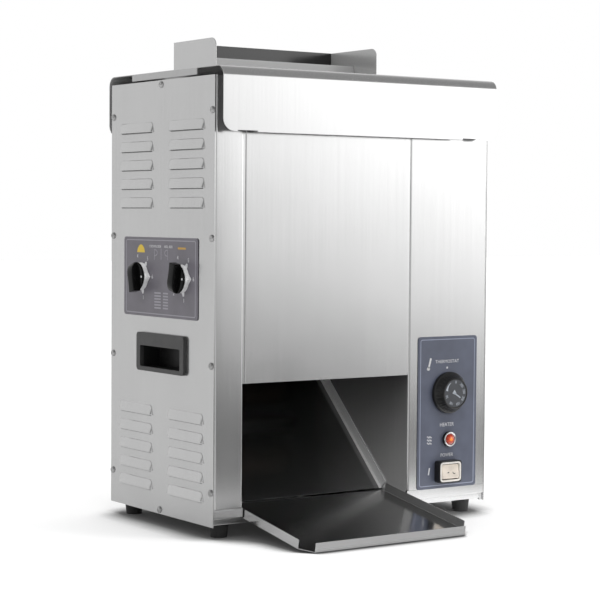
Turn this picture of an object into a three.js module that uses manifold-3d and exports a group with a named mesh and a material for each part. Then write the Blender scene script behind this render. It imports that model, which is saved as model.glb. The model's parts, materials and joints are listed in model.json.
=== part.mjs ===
// Vertical bun toaster: a standing hot plate between two ribbed conveyors, in a stainless casing.
// Buns go in through the two slots on top and slide out onto the landing tray at the front.
// Millimetres. X runs from the left cover to the right one, Y from the front to the back, Z up.
import {
  Box3, BoxGeometry, BufferAttribute, BufferGeometry, CubicBezierCurve3, CurvePath, ExtrudeGeometry,
  Group, LatheGeometry, LineCurve3, MathUtils, Matrix4, Mesh, MeshStandardMaterial, Path, Shape,
  Vector2, Vector3,
} from 'three';
import { ConvexGeometry } from 'three/addons/geometries/ConvexGeometry.js';
import { mergeVertices } from 'three/addons/utils/BufferGeometryUtils.js';
import Module from 'manifold-3d';

const wasm = await Module();
wasm.setup();

// Sheet metal and fits
const SHEET = 1;
const BEND = 3;
const TIGHT_BEND = 1.5;

// How finely round forms are cut into flats
const CORNER_STEPS = 6;
const SMALL_SIDES = 8;
const COLLAR_SIDES = 14;
const ROUND_SIDES = 16;
const LAMP_SIDES = 18;
const MOTOR_SIDES = 24;
const ELEMENT_BEND_STEPS = 10;
const SEAT = 0.3;
const OVERRUN = 2;

// Casing
const BODY_WIDTH = 437;
const BODY_DEPTH = 262;
const FOOT_HEIGHT = 16;
const LEFT_BAY = 43.5;
const RIGHT_BAY = 133;
const RIM = 14;
const CORE_Y = 127;

// Base pan
const PAN_LIFT = 2;
const PLINTH_HEIGHT = 7.5;
const PLINTH_SETBACK = 3;
const BAND_HEIGHT = 13;

// Rubber feet
const FOOT_TOP_RADIUS = 12.5;
const FOOT_BOTTOM_RADIUS = 10.5;
const FOOT_INSET = 23;
const FOOT_SIDES = 20;

// Louvres of the side covers
const LOUVRE_WIDTH = 85;
const LOUVRE_HEIGHT = 12;
const LOUVRE_PROUD = 3.6;
const LOUVRE_SKIN = 0.8;
const LOUVRE_SPLAY = 4.5;
const LOUVRE_PITCH = 24.4;
const LOUVRE_ROWS = 5;
const LOUVRE_COLUMN_OFFSET = 63.5;
const LOWER_LOUVRES_Z = 29;
// Share of the free height over the compression plate that lies under the upper louvres
const UPPER_LOUVRES_SHARE = 0.42;

// Cover screws
const SCREW_HEAD_RADIUS = 3.9;
const SCREW_HEAD_TOP_RADIUS = 2.9;
const SCREW_HEAD_HEIGHT = 2.2;
const SCREW_SHANK_RADIUS = 1.8;
const SCREW_LENGTH = 7;
const SCREW_HOLE_RADIUS = 2.2;
const SCREW_INSET = 5.6;
const SCREW_END_GAP = 43;
const SCREW_ROWS = 4;
const SCREW_SIDES = 8;

// Top cover
const COVER_RISE = 11.3;
const COVER_INSET = 1;
const COVER_FRONT_REACH = 18;
const COVER_REAR_REACH = 9.5;
const COVER_BEND = 13;
const SKIRT_DEPTH = 81;
const SKIRT_CORNER = 16;
const HEM_DEPTH = 9;
const HEM_LEFT_INSET = 50;
const HEM_RIGHT_INSET = 58;
const NOTCH_LENGTH = 29;
const NOTCH_HEIGHT = 1.7;
const TAB_LENGTH = 164;
const TAB_DEPTH = 9;

// Bun feeder and the slots under it
const FEEDER_WIDTH = 255;
const FEEDER_LEFT = 45;
const FEEDER_FRONT = 71;
const FEEDER_DEPTH = 106;
const FEEDER_HEIGHT = 42;
const FEEDER_CORNER = 11;
const FEEDER_LIP = 5;
const DIVIDER_HEIGHT = 23;
const DIVIDER_WIDTH = 14;
const SLOT_MARGIN = 3;
const SLOT_CORNER = 5;

// Front and rear conveyor covers
const DISCHARGE_HEIGHT = 177.5;
const COVER_PANEL_LEFT_GAP = 2;
const COVER_PANEL_RIGHT_GAP = 0.6;
const PANEL_RETURN = 12;

// Chute slide and landing tray
const TRAY_SLOPE = MathUtils.degToRad(9.5);
const TRAY_FRONT_REACH = 143;
const TRAY_REAR_REACH = 50;
const TRAY_LIP = 12;
const TRAY_LIP_REAR_GAP = 6;
const TRAY_SIDE_GAP = 1.6;
const TRAY_CORNER_WIDTH = 13;
const TRAY_CORNER_DEPTH = 18;
const SLIDE_SLOPE = MathUtils.degToRad(44);
const SLIDE_FOOT_Y = 55;
const SLIDE_FLANGE = 13;
const SLIDE_SIDE_GAP = 0.6;
const SLIDE_CLEARANCE = 1.4;
const SLIDE_TOP_LIP = 12;

// Platen, its elements and the release sheet
const PLATEN_THICKNESS = 5;
const PLATEN_HEIGHT = 326;
const PLATEN_BOTTOM = 224;
const PLATEN_TOP_GAP = 10;
const PLATEN_SIDE_GAP = 6.5;
const ELEMENT_RADIUS = 3.5;
const ELEMENT_COUNT = 3;
const ELEMENT_LOOP = 40;
const ELEMENT_LOW_GAP = 50;
const ELEMENT_HIGH_GAP = 36;
const ELEMENT_TURN_INSET = 14;
const ELEMENT_TAIL = 14;
const ELEMENT_SIDES = 8;
const ELEMENT_BEND_THINNING = 0.2;
const ELEMENT_BEND_LAP = 3;
const LUG_WIDTH = 16;
const LUG_HEIGHT = 16;
const LUG_INSET = 10;
const RELEASE_SHEET = 0.6;
const RELEASE_SIDE_INSET = 4;
const RELEASE_DROP = 12;

// Conveyors
const CONVEYOR_OFFSET = 51.5;
const DRIVE_AXIS_Z = 246;
const IDLER_DROP = 21;
const ROLLER_RADIUS = 16;
const ROLLER_SHAFT_RADIUS = 5;
const BELT_THICKNESS = 2.2;
const BELT_WALL_GAP = 12.5;
const BELT_STEPS = 10;
const RIB_HEIGHT = 2;
const RIB_WIDTH = 3.5;
const RIB_COUNT = 10;
const FRAME_WALL_GAP = 3;
const FRAME_THICKNESS = 2;
const FRAME_RADIUS = 14;
const CAM_WINDOW = 8;
const TIE_RADIUS = 3;
const TIE_COUNT = 2;
const COLLAR_WALL = 3;
const COLLAR_LENGTH = 5;

// Compression shafts, cams and knobs
const KNOB_Z = 306.8;
const CAM_SHAFT_RADIUS = 4;
const CAM_SMALL_RADIUS = 9.5;
const CAM_RISE = 3;
const CAM_WIDTH = 4;
const CAM_GAP = 0.8;
const CAM_SWEEP = MathUtils.degToRad(300);
const CAM_DWELL = MathUtils.degToRad(15);
const CAM_REST = MathUtils.degToRad(120);
const CAM_STEPS = 30;
const PAD_HEIGHT = 4;
const SHAFT_HOLE_RADIUS = 6;
const POINTER_RADIUS = 18.2;
const POINTER_REACH = 5.3;
const POINTER_NUB = MathUtils.degToRad(24);
const POINTER_HEIGHT = 6;
const POINTER_STEPS = 45;
const KNOB_RADIUS = 18.8;
const KNOB_SIDES = 32;
const KNOB_DISC = 3;
const KNOB_BAR_WIDTH = 14;
const KNOB_BAR_HEIGHT = 8;
const KNOB_TAIL = 20;
const KNOB_CREST = 4;
const KNOB_NOSE_STEPS = 6;
const KNOB_BORE_DEPTH = 10;
const KNOB_LEAN = MathUtils.degToRad(12);

// Control plates
const PLATE_SHEET = 0.8;
const PLATE_CORNER = 4;
const COMPRESSION_PLATE_WIDTH = 188;
const COMPRESSION_PLATE_HEIGHT = 103;
const CONTROL_PLATE_WIDTH = 101;
const CONTROL_PLATE_HEIGHT = 205;
const CONTROL_PLATE_LEFT = 15.5;
const CONTROL_PLATE_BOTTOM = 22;

// Thermostat
const THERMOSTAT_X = 67;
const THERMOSTAT_Z = 151;
const DIAL_SKIRT_RADIUS = 28;
const DIAL_SKIRT_HEIGHT = 5;
const DIAL_NECK_RADIUS = 26.5;
const DIAL_FACE_RADIUS = 20.4;
const DIAL_HEIGHT = 16;
const DIAL_SIDES = 32;
const STEM_RADIUS = 3;
const STEM_REACH = 12;
const THERMOSTAT_WIDTH = 44;
const THERMOSTAT_DEPTH = 32;
const THERMOSTAT_COLLAR = 7;

// Heater lamp
const LAMP_X = 68;
const LAMP_Z = 88;
const LAMP_BEZEL_RADIUS = 10;
const LAMP_BEZEL_HEIGHT = 5;
const LAMP_WALL = 2.6;
const LAMP_SHANK_RADIUS = 8;
const LAMP_SHANK_LENGTH = 22;
const LENS_DOME = 2.5;

// Power switch
const SWITCH_X = 64;
const SWITCH_Z = 45;
const SWITCH_WIDTH = 38;
const SWITCH_HEIGHT = 30;
const SWITCH_PROUD = 11;
const SWITCH_RIM = 1.6;
const SWITCH_BODY_DEPTH = 22;
const SWITCH_BODY_INSET = 4;
const SWITCH_CORNER = 4;
const ROCKER_TILT = MathUtils.degToRad(8);
const ROCKER_VALLEY = 3.5;
const ROCKER_DEPTH = 8;
const ROCKER_GAP = 0.6;

// Carrying handles
const HANDLE_WIDTH = 120;
const HANDLE_HEIGHT = 50;
const HANDLE_Z = 209;
const HANDLE_Y = 126;
const HANDLE_PROUD = 4;
const HANDLE_CORNER = 5;
const HANDLE_RIM = 9.5;
const HANDLE_MOUTH_BOTTOM = 5.5;
const HANDLE_MOUTH_HEIGHT = 27.5;
const HANDLE_POCKET_HEIGHT = 39;
const HANDLE_POCKET_DEPTH = 26;
const HANDLE_WALL = 2;

// Drive train
const GEAR_TEETH = 24;
const GEAR_ADDENDUM = 3.6;
const GEAR_DEDENDUM = 4.6;
const GEAR_BACKLASH = 1;
const GEAR_WIDTH = 8;
const GEAR_WALL_GAP = 6;
const PRESSURE_ANGLE = MathUtils.degToRad(20);
const FLANK_STEPS = 1;
const SPROCKET_WIDTH = 4;
const SPROCKET_GAP = 4;
const DRIVEN_SPROCKET_RADIUS = 24;
const MOTOR_SPROCKET_RADIUS = 12;
const MOTOR_SPROCKET_TEETH = 10;
const SPROCKET_TOOTH = 2.4;
const ROOT_SHARE = 0.35;
const CHAIN_THICKNESS = 3;
const CHAIN_GAP = 0.6;
const MOTOR_DROP = 132;
const BRACKET_SHEET = 2;
const MOTOR_BRACKET_HALF_WIDTH = 34;
const MOTOR_BRACKET_FOOT = 14;
const MOTOR_BRACKET_HEIGHT = 64;
const MOTOR_BRACKET_REACH = 24;
const GEARBOX_SIZE = 56;
const GEARBOX_LENGTH = 42;
const MOTOR_RADIUS = 26;
const MOTOR_LENGTH = 50;

// Terminal block and cable gland
const BLOCK_LENGTH = 70;
const BLOCK_HEIGHT = 22;
const BLOCK_DEPTH = 18;
const BLOCK_Y = 40;
const BLOCK_Z = 400;
const BLOCK_POLES = 5;
const BLOCK_POLE_RADIUS = 3.5;
const BLOCK_POLE_DEPTH = 8;
const GLAND_X = 98;
const GLAND_Z = 66;
const GLAND_RADIUS = 9;
const GLAND_BORE_RADIUS = 4.5;
const GLAND_FLANGE_RADIUS = 13;
const GLAND_FLANGE_THICKNESS = 4;
const GLAND_REACH = 12;
const GLAND_INSIDE = 10;

// How far a curve's handle reaches along each arm of a quarter turn
const ROUND_SHARE = 0.5523;

// Places that several pieces share
const PANEL_BOTTOM = FOOT_HEIGHT;
const PANEL_HEIGHT = PLATEN_BOTTOM + PLATEN_HEIGHT + PLATEN_TOP_GAP;
const PANEL_TOP = PANEL_BOTTOM + PANEL_HEIGHT;
const PAN_BOTTOM = PANEL_BOTTOM + PAN_LIFT;
const BAND_BOTTOM = PAN_BOTTOM + PLINTH_HEIGHT;
const SEAM_Z = BAND_BOTTOM + BAND_HEIGHT;
const GATE_Z = BAND_BOTTOM - SHEET;
const WALL_LEFT = LEFT_BAY;
const WALL_RIGHT = BODY_WIDTH - RIGHT_BAY;
const RETURN_INSET = SHEET + SEAT;
const COVER_TOP = PANEL_TOP + COVER_RISE;
const SKIRT_BOTTOM = COVER_TOP - SKIRT_DEPTH;
const FEEDER_BOTTOM = COVER_TOP + SEAT;
const FEEDER_RIGHT = FEEDER_LEFT + FEEDER_WIDTH;
const FEEDER_REAR = FEEDER_FRONT + FEEDER_DEPTH;
const DIVIDER_Y = (FEEDER_FRONT + FEEDER_REAR) / 2;
const DRIVE_Z = PANEL_BOTTOM + DRIVE_AXIS_Z;
const BELT_LENGTH = PLATEN_BOTTOM + PLATEN_HEIGHT - IDLER_DROP - DRIVE_AXIS_Z;
const CAM_Z = PANEL_BOTTOM + KNOB_Z;
const CAM_REST_RADIUS = CAM_SMALL_RADIUS + CAM_RISE * (CAM_REST / CAM_SWEEP);
const FRONT_AXIS_Y = CORE_Y - CONVEYOR_OFFSET;
const REAR_AXIS_Y = CORE_Y + CONVEYOR_OFFSET;
const PLATEN_Z = PANEL_BOTTOM + PLATEN_BOTTOM;
const PLATEN_LEFT = WALL_LEFT + PLATEN_SIDE_GAP;
const PLATEN_RIGHT = WALL_RIGHT - PLATEN_SIDE_GAP;
const PLATEN_INNER = ELEMENT_RADIUS + SEAT;
const PLATEN_OUTER = PLATEN_INNER + PLATEN_THICKNESS;
const BELT_INNER_RADIUS = ROLLER_RADIUS + SEAT;
const BELT_OUTER_RADIUS = BELT_INNER_RADIUS + BELT_THICKNESS;
const BELT_LEFT = WALL_LEFT + BELT_WALL_GAP;
const BELT_RIGHT = WALL_RIGHT - BELT_WALL_GAP;
const FRAME_LEFT = WALL_LEFT + FRAME_WALL_GAP;
const FRAME_RIGHT = WALL_RIGHT - FRAME_WALL_GAP;
const GEAR_X = WALL_RIGHT + SHEET + GEAR_WALL_GAP;
const SPROCKET_X = GEAR_X + GEAR_WIDTH + SPROCKET_GAP;
const MOTOR_Z = DRIVE_Z - MOTOR_DROP;
const MOTOR_PLATE_X = WALL_RIGHT + SHEET + SEAT + MOTOR_BRACKET_REACH;
const PLATE_FACE_Y = -SEAT - PLATE_SHEET;
const CONTROL_LEFT = WALL_RIGHT + CONTROL_PLATE_LEFT;
const CONTROL_BOTTOM = PANEL_BOTTOM + CONTROL_PLATE_BOTTOM;
const THERMOSTAT_AXIS = new Vector3(WALL_RIGHT + THERMOSTAT_X, 0, PANEL_BOTTOM + THERMOSTAT_Z);
const LAMP_AXIS = new Vector3(WALL_RIGHT + LAMP_X, 0, PANEL_BOTTOM + LAMP_Z);
const SWITCH_AXIS = new Vector3(WALL_RIGHT + SWITCH_X, 0, PANEL_BOTTOM + SWITCH_Z);
const HANDLE_BOTTOM = PANEL_BOTTOM + HANDLE_Z - HANDLE_HEIGHT / 2;
const GLAND_AXIS_X = WALL_RIGHT + GLAND_X;
const GLAND_AXIS_Z = PANEL_BOTTOM + GLAND_Z;

// Turns local x, y, z of a flat outline into the axis that it is drawn out along.
const OUTLINE_TURNS = {
  x: new Matrix4().makeBasis(new Vector3(0, 1, 0), new Vector3(0, 0, 1), new Vector3(1, 0, 0)),
  y: new Matrix4().makeBasis(new Vector3(1, 0, 0), new Vector3(0, 0, 1), new Vector3(0, -1, 0)),
  z: new Matrix4(),
};

// A closed mesh as a solid that can be cut and joined.
function solid(geometry) {
  const bare = geometry.clone();
  bare.deleteAttribute('normal');
  bare.deleteAttribute('uv');
  const merged = mergeVertices(bare);
  return new wasm.Manifold(new wasm.Mesh({
    numProp: 3,
    vertProperties: new Float32Array(merged.attributes.position.array),
    triVerts: new Uint32Array(merged.index.array),
  }));
}

function geometryOf(body) {
  const mesh = body.getMesh();
  const geometry = new BufferGeometry();
  geometry.setAttribute('position', new BufferAttribute(mesh.vertProperties, 3));
  geometry.setIndex(new BufferAttribute(mesh.triVerts, 1));
  geometry.computeVertexNormals();
  return geometry;
}

function join(...bodies) {
  return bodies.reduce((whole, body) => whole.add(body));
}

function cut(body, ...tools) {
  return tools.reduce((rest, tool) => rest.subtract(tool), body);
}

function box(x0, x1, y0, y1, z0, z1) {
  const geometry = new BoxGeometry(x1 - x0, y1 - y0, z1 - z0);
  geometry.translate((x0 + x1) / 2, (y0 + y1) / 2, (z0 + z1) / 2);
  return solid(geometry);
}

// A flat outline drawn out along an axis. Along x the outline is in y, z; along y in x, z.
function prism(outline, axis, from, to) {
  const geometry = new ExtrudeGeometry(outline, { depth: to - from, bevelEnabled: false });
  geometry.applyMatrix4(OUTLINE_TURNS[axis]);
  const start = { x: [from, 0, 0], y: [0, to, 0], z: [0, 0, from] }[axis];
  geometry.translate(...start);
  return solid(geometry);
}

function polygon(points) {
  return new Shape(points.map(([u, v]) => new Vector2(u, v)));
}

function arc(centreU, centreV, radius, start, end, steps) {
  const points = [];
  for (let i = 0; i <= steps; i += 1) {
    const angle = start + (end - start) * (i / steps);
    points.push([centreU + radius * Math.cos(angle), centreV + radius * Math.sin(angle)]);
  }
  return points;
}

function circle(centreU, centreV, radius, sides) {
  return polygon(arc(centreU, centreV, radius, 0, 2 * Math.PI, sides).slice(0, -1));
}

function rod(axis, centreU, centreV, radius, from, to, sides = 12) {
  return prism(circle(centreU, centreV, radius, sides), axis, from, to);
}

// A rectangle with its four corners rounded, each by its own radius from the lower left one on.
function roundedRectangle(u0, v0, u1, v1, radii, steps = 4) {
  const [a, b, c, d] = Array.isArray(radii) ? radii : [radii, radii, radii, radii];
  const corner = (u, v, radius, start) => (radius > 0
    ? arc(u, v, radius, start, start + Math.PI / 2, steps) : [[u, v]]);
  return polygon([
    ...corner(u0 + a, v0 + a, a, Math.PI),
    ...corner(u1 - b, v0 + b, b, 1.5 * Math.PI),
    ...corner(u1 - c, v1 - c, c, 0),
    ...corner(u0 + d, v1 - d, d, 0.5 * Math.PI),
  ]);
}

// The section of a folded sheet, from the middle line that its flats follow. Each inner corner is
// bent round, with the given outer radius.
function foldedOutline(points, outerRadius, thickness = SHEET, steps = 3) {
  const radius = outerRadius - thickness / 2;
  const line = [];
  const heading = (a, b) => Math.atan2(b[1] - a[1], b[0] - a[0]);
  line.push({ point: points[0], angle: heading(points[0], points[1]) });
  for (let i = 1; i < points.length - 1; i += 1) {
    const before = heading(points[i - 1], points[i]);
    const after = heading(points[i], points[i + 1]);
    const turn = Math.atan2(Math.sin(after - before), Math.cos(after - before));
    const reach = radius * Math.tan(Math.abs(turn) / 2);
    const side = Math.sign(turn);
    const centre = [
      points[i][0] - reach * Math.cos(before) - side * radius * Math.sin(before),
      points[i][1] - reach * Math.sin(before) + side * radius * Math.cos(before),
    ];
    for (let k = 0; k <= steps; k += 1) {
      const angle = before + turn * (k / steps);
      line.push({
        point: [centre[0] + side * radius * Math.sin(angle), centre[1] - side * radius * Math.cos(angle)],
        angle,
      });
    }
  }
  const last = points.length - 1;
  line.push({ point: points[last], angle: heading(points[last - 1], points[last]) });
  const offset = (distance) => line.map(({ point, angle }) => [
    point[0] - distance * Math.sin(angle), point[1] + distance * Math.cos(angle),
  ]);
  return polygon([...offset(-thickness / 2), ...offset(thickness / 2).reverse()]);
}

// A turned piece about the local Z axis, from its radius and height pairs.
function turned(profile, sides) {
  const geometry = new LatheGeometry(profile.map(([r, z]) => new Vector2(r, z)), sides);
  geometry.rotateX(Math.PI / 2);
  return solid(geometry);
}

function place(body, ...matrices) {
  const geometry = geometryOf(body);
  matrices.forEach((matrix) => geometry.applyMatrix4(matrix));
  return solid(geometry);
}

// Turns a piece built about Z so that Z points along +X.
const Z_TO_X = new Matrix4().makeRotationY(Math.PI / 2);

const FINISHES = {
  steel: { color: 0xc4c5c6, roughness: 0.32, metalness: 1 },
  mirror: { color: 0x77787a, roughness: 0.12, metalness: 1 },
  aluminium: { color: 0xb9babb, roughness: 0.45, metalness: 1 },
  darkSteel: { color: 0x6c6e70, roughness: 0.5, metalness: 1 },
  rubber: { color: 0x141414, roughness: 0.85, metalness: 0 },
  blackPlastic: { color: 0x1b1b1c, roughness: 0.35, metalness: 0 },
  whitePlastic: { color: 0xe9e9ea, roughness: 0.4, metalness: 0 },
  creamPlastic: { color: 0xe2d9cf, roughness: 0.35, metalness: 0 },
  amber: { color: 0xff6a1c, roughness: 0.2, metalness: 0 },
  greyPlate: { color: 0x6b6870, roughness: 0.45, metalness: 0 },
  bluePlate: { color: 0x5a5d70, roughness: 0.4, metalness: 0 },
  belt: { color: 0x8c4a2c, roughness: 0.7, metalness: 0 },
  releaseSheet: { color: 0x7a5a38, roughness: 0.5, metalness: 0 },
  motor: { color: 0x4a4c50, roughness: 0.6, metalness: 0.6 },
  terminal: { color: 0xd9d4c6, roughness: 0.6, metalness: 0 },
};

const toaster = new Group();

function add(parent, name, body, finish) {
  const mesh = new Mesh(geometryOf(body), new MeshStandardMaterial(FINISHES[finish]));
  mesh.name = name;
  parent.add(mesh);
  return mesh;
}

// Base pan: a floor with upturned sides. Its front and rear step out to the band under the
// columns, and the band is cut away where the tray comes out.
function makeBasePan() {
  const inner = SHEET / 2;
  const plinth = PLINTH_SETBACK + inner;
  const section = foldedOutline([
    [inner, SEAM_Z - SEAT],
    [inner, BAND_BOTTOM + inner],
    [plinth, BAND_BOTTOM + inner],
    [plinth, PAN_BOTTOM + inner],
    [BODY_DEPTH - plinth, PAN_BOTTOM + inner],
    [BODY_DEPTH - plinth, BAND_BOTTOM + inner],
    [BODY_DEPTH - inner, BAND_BOTTOM + inner],
    [BODY_DEPTH - inner, SEAM_Z - SEAT],
  ], TIGHT_BEND);
  const pan = prism(
    section, 'x', RETURN_INSET + SHEET / 2, BODY_WIDTH - RETURN_INSET - SHEET / 2,
  );
  const flange = (x) => box(
    x, x + SHEET, PLINTH_SETBACK + SHEET / 2, BODY_DEPTH - PLINTH_SETBACK - SHEET / 2,
    PAN_BOTTOM + SHEET / 2, SEAM_Z - 2 * SEAT,
  );
  const gateway = box(
    WALL_LEFT, WALL_RIGHT, -OVERRUN, PLINTH_SETBACK + SHEET + OVERRUN, GATE_Z, SEAM_Z + OVERRUN,
  );
  return cut(
    join(pan, flange(RETURN_INSET), flange(BODY_WIDTH - RETURN_INSET - SHEET)),
    gateway,
    ...coverScrewPlaces()
      .map(([y, z]) => rod('x', y, z, SCREW_HOLE_RADIUS, -OVERRUN, BODY_WIDTH + OVERRUN, SCREW_SIDES)),
  );
}

function makeFoot() {
  return turned([
    [0, 0], [FOOT_BOTTOM_RADIUS, 0], [FOOT_TOP_RADIUS, PAN_BOTTOM - SEAT], [0, PAN_BOTTOM - SEAT],
  ], FOOT_SIDES);
}

// Where the ten screws of a side cover go, as y and z. The places are alike from front and back.
function coverScrewPlaces() {
  const places = [
    [BODY_DEPTH / 2, PANEL_BOTTOM + SCREW_INSET],
    [BODY_DEPTH / 2, PANEL_TOP - SCREW_INSET],
  ];
  const pitch = (PANEL_HEIGHT - 2 * SCREW_END_GAP) / (SCREW_ROWS - 1);
  for (let row = 0; row < SCREW_ROWS; row += 1) {
    const z = PANEL_BOTTOM + SCREW_END_GAP + row * pitch;
    places.push([SCREW_INSET, z], [BODY_DEPTH - SCREW_INSET, z]);
  }
  return places;
}

// Shafts that run in both inner walls, as y, z and radius: drive rollers and compression shafts.
function wallShafts() {
  return [FRONT_AXIS_Y, REAR_AXIS_Y].flatMap((y) => [
    [y, DRIVE_Z, ROLLER_SHAFT_RADIUS],
    [y, CAM_Z, CAM_SHAFT_RADIUS],
  ]);
}

// Frame channel: front and rear column and the inner wall between them, in one folded sheet.
// Its outer edges turn in under the side cover, and the inner wall reaches down to the pan and
// up to the top cover. The wall has a collar for each shaft and two lugs for the platen's edge.
function makeChannel(outerX, wallX) {
  const side = Math.sign(wallX - outerX);
  const rim = outerX + side * (RETURN_INSET + SHEET / 2);
  const wall = wallX - side * (SHEET / 2);
  const inner = SHEET / 2;
  const plan = foldedOutline([
    [rim, RIM],
    [rim, inner],
    [wall, inner],
    [wall, BODY_DEPTH - inner],
    [rim, BODY_DEPTH - inner],
    [rim, BODY_DEPTH - RIM],
  ], BEND);
  const foot = PAN_BOTTOM + SHEET + SEAT;
  const head = COVER_TOP - SHEET - SEAT;
  const setback = PLINTH_SETBACK + SHEET + SEAT;
  const middle = (rim + wall) / 2;
  const spanX = (a, b) => [Math.min(a, b), Math.max(a, b)];
  const wide = spanX(outerX - side * OVERRUN, wallX + side * OVERRUN);
  const outer = spanX(outerX - side * OVERRUN, middle);
  const endCuts = (span, reach, z0, z1) => [
    box(...span, -OVERRUN, reach, z0, z1),
    box(...span, BODY_DEPTH - reach, BODY_DEPTH + OVERRUN, z0, z1),
  ];
  const rimX = rim + side * SEAT;
  const channel = join(
    cut(
      prism(plan, 'z', foot, head),
      ...endCuts(wide, setback, foot - OVERRUN, SEAM_Z),
      ...endCuts(outer, RIM + OVERRUN, foot - OVERRUN, SEAM_Z),
      ...endCuts(wide, RIM + OVERRUN, PANEL_TOP, head + OVERRUN),
    ),
    box(
      ...spanX(rimX - SHEET / 2, rimX + SHEET / 2),
      RIM - SHEET, BODY_DEPTH - RIM + SHEET, PANEL_TOP - RIM, PANEL_TOP - SEAT,
    ),
  );
  const collarSpan = spanX(wall, wall - side * (SHEET / 2 + COLLAR_LENGTH));
  const collars = wallShafts()
    .map(([y, z, radius]) => rod('x', y, z, radius + SEAT + COLLAR_WALL, ...collarSpan, COLLAR_SIDES));
  const bores = wallShafts().map(([y, z, radius]) => rod(
    'x', y, z, radius + SEAT, collarSpan[0] - OVERRUN, collarSpan[1] + OVERRUN, COLLAR_SIDES,
  ));
  const lugReach = LUG_WIDTH / 2;
  const lugSpan = spanX(wall, wallX + side * (PLATEN_SIDE_GAP - SEAT));
  const lugs = [PLATEN_Z + LUG_INSET, PLATEN_Z + PLATEN_HEIGHT - LUG_INSET - LUG_HEIGHT]
    .map((z) => box(...lugSpan, CORE_Y - lugReach, CORE_Y + lugReach, z, z + LUG_HEIGHT));
  const screws = coverScrewPlaces().map(([y, z]) => rod(
    'x', y, z, SCREW_HOLE_RADIUS, ...outer, SCREW_SIDES,
  ));
  return cut(join(channel, ...collars, ...lugs), ...bores, ...screws);
}

// Holes that the front of the right column and its plate share.
function controlHoles(from, to) {
  const halfWidth = SWITCH_WIDTH / 2 - SWITCH_BODY_INSET + SEAT;
  const halfHeight = SWITCH_HEIGHT / 2 - SWITCH_BODY_INSET + SEAT;
  return [
    rod('y', THERMOSTAT_AXIS.x, THERMOSTAT_AXIS.z, THERMOSTAT_COLLAR + SEAT, from, to),
    rod('y', LAMP_AXIS.x, LAMP_AXIS.z, LAMP_SHANK_RADIUS + SEAT, from, to, ROUND_SIDES),
    box(
      SWITCH_AXIS.x - halfWidth, SWITCH_AXIS.x + halfWidth, from, to,
      SWITCH_AXIS.z - halfHeight, SWITCH_AXIS.z + halfHeight,
    ),
  ];
}

function makeRightChannel() {
  const elements = elementLegs().map((z) => rod(
    'x', CORE_Y, z, ELEMENT_RADIUS + SEAT,
    WALL_RIGHT - OVERRUN, WALL_RIGHT + SHEET + OVERRUN, ELEMENT_SIDES,
  ));
  const gland = rod(
    'y', GLAND_AXIS_X, GLAND_AXIS_Z, GLAND_RADIUS + SEAT,
    BODY_DEPTH - SHEET - OVERRUN, BODY_DEPTH + OVERRUN, ROUND_SIDES,
  );
  return cut(
    makeChannel(BODY_WIDTH, WALL_RIGHT), ...controlHoles(-OVERRUN, SHEET + OVERRUN), gland, ...elements,
  );
}

// One louvre: a hood pressed out of the cover, open at its lower edge.
function louvreHood(centreY, z) {
  const half = LOUVRE_WIDTH / 2;
  const crest = half - LOUVRE_SPLAY;
  return solid(new ConvexGeometry([
    new Vector3(SHEET / 2, centreY - half, z), new Vector3(SHEET / 2, centreY + half, z),
    new Vector3(0, centreY - half, z), new Vector3(0, centreY + half, z),
    new Vector3(-LOUVRE_PROUD, centreY - crest, z), new Vector3(-LOUVRE_PROUD, centreY + crest, z),
    new Vector3(0, centreY - crest, z + LOUVRE_HEIGHT),
    new Vector3(0, centreY + crest, z + LOUVRE_HEIGHT),
    new Vector3(SHEET / 2, centreY - crest, z + LOUVRE_HEIGHT),
    new Vector3(SHEET / 2, centreY + crest, z + LOUVRE_HEIGHT),
  ]));
}

function louvreThroat(centreY, z) {
  const half = LOUVRE_WIDTH / 2 - LOUVRE_SPLAY - LOUVRE_SKIN;
  const rise = LOUVRE_HEIGHT / LOUVRE_PROUD;
  const crest = LOUVRE_PROUD - LOUVRE_SKIN;
  const top = z + (crest + SHEET + SEAT) * rise;
  return solid(new ConvexGeometry([
    new Vector3(SHEET + SEAT, centreY - half, z), new Vector3(SHEET + SEAT, centreY + half, z),
    new Vector3(-crest, centreY - half, z), new Vector3(-crest, centreY + half, z),
    new Vector3(SHEET + SEAT, centreY - half, top), new Vector3(SHEET + SEAT, centreY + half, top),
  ]));
}

function louvrePlaces() {
  const places = [];
  const plateTop = CAM_Z + COMPRESSION_PLATE_HEIGHT / 2;
  const free = PANEL_TOP - plateTop - (LOUVRE_ROWS - 1) * LOUVRE_PITCH - LOUVRE_HEIGHT;
  for (const firstZ of [PANEL_BOTTOM + LOWER_LOUVRES_Z, plateTop + free * UPPER_LOUVRES_SHARE]) {
    for (const offset of [-LOUVRE_COLUMN_OFFSET, LOUVRE_COLUMN_OFFSET]) {
      for (let row = 0; row < LOUVRE_ROWS; row += 1) {
        places.push([BODY_DEPTH / 2 + offset, firstZ + row * LOUVRE_PITCH]);
      }
    }
  }
  return places;
}

// Captive screw, about Z with its head on the plane z 0.
function makeScrew() {
  return turned([
    [0, -SCREW_LENGTH], [SCREW_SHANK_RADIUS, -SCREW_LENGTH], [SCREW_SHANK_RADIUS, -SHEET / 2],
    [SCREW_HEAD_RADIUS, -SHEET / 2], [SCREW_HEAD_TOP_RADIUS, SCREW_HEAD_HEIGHT], [0, SCREW_HEAD_HEIGHT],
  ], SCREW_SIDES);
}

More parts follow.
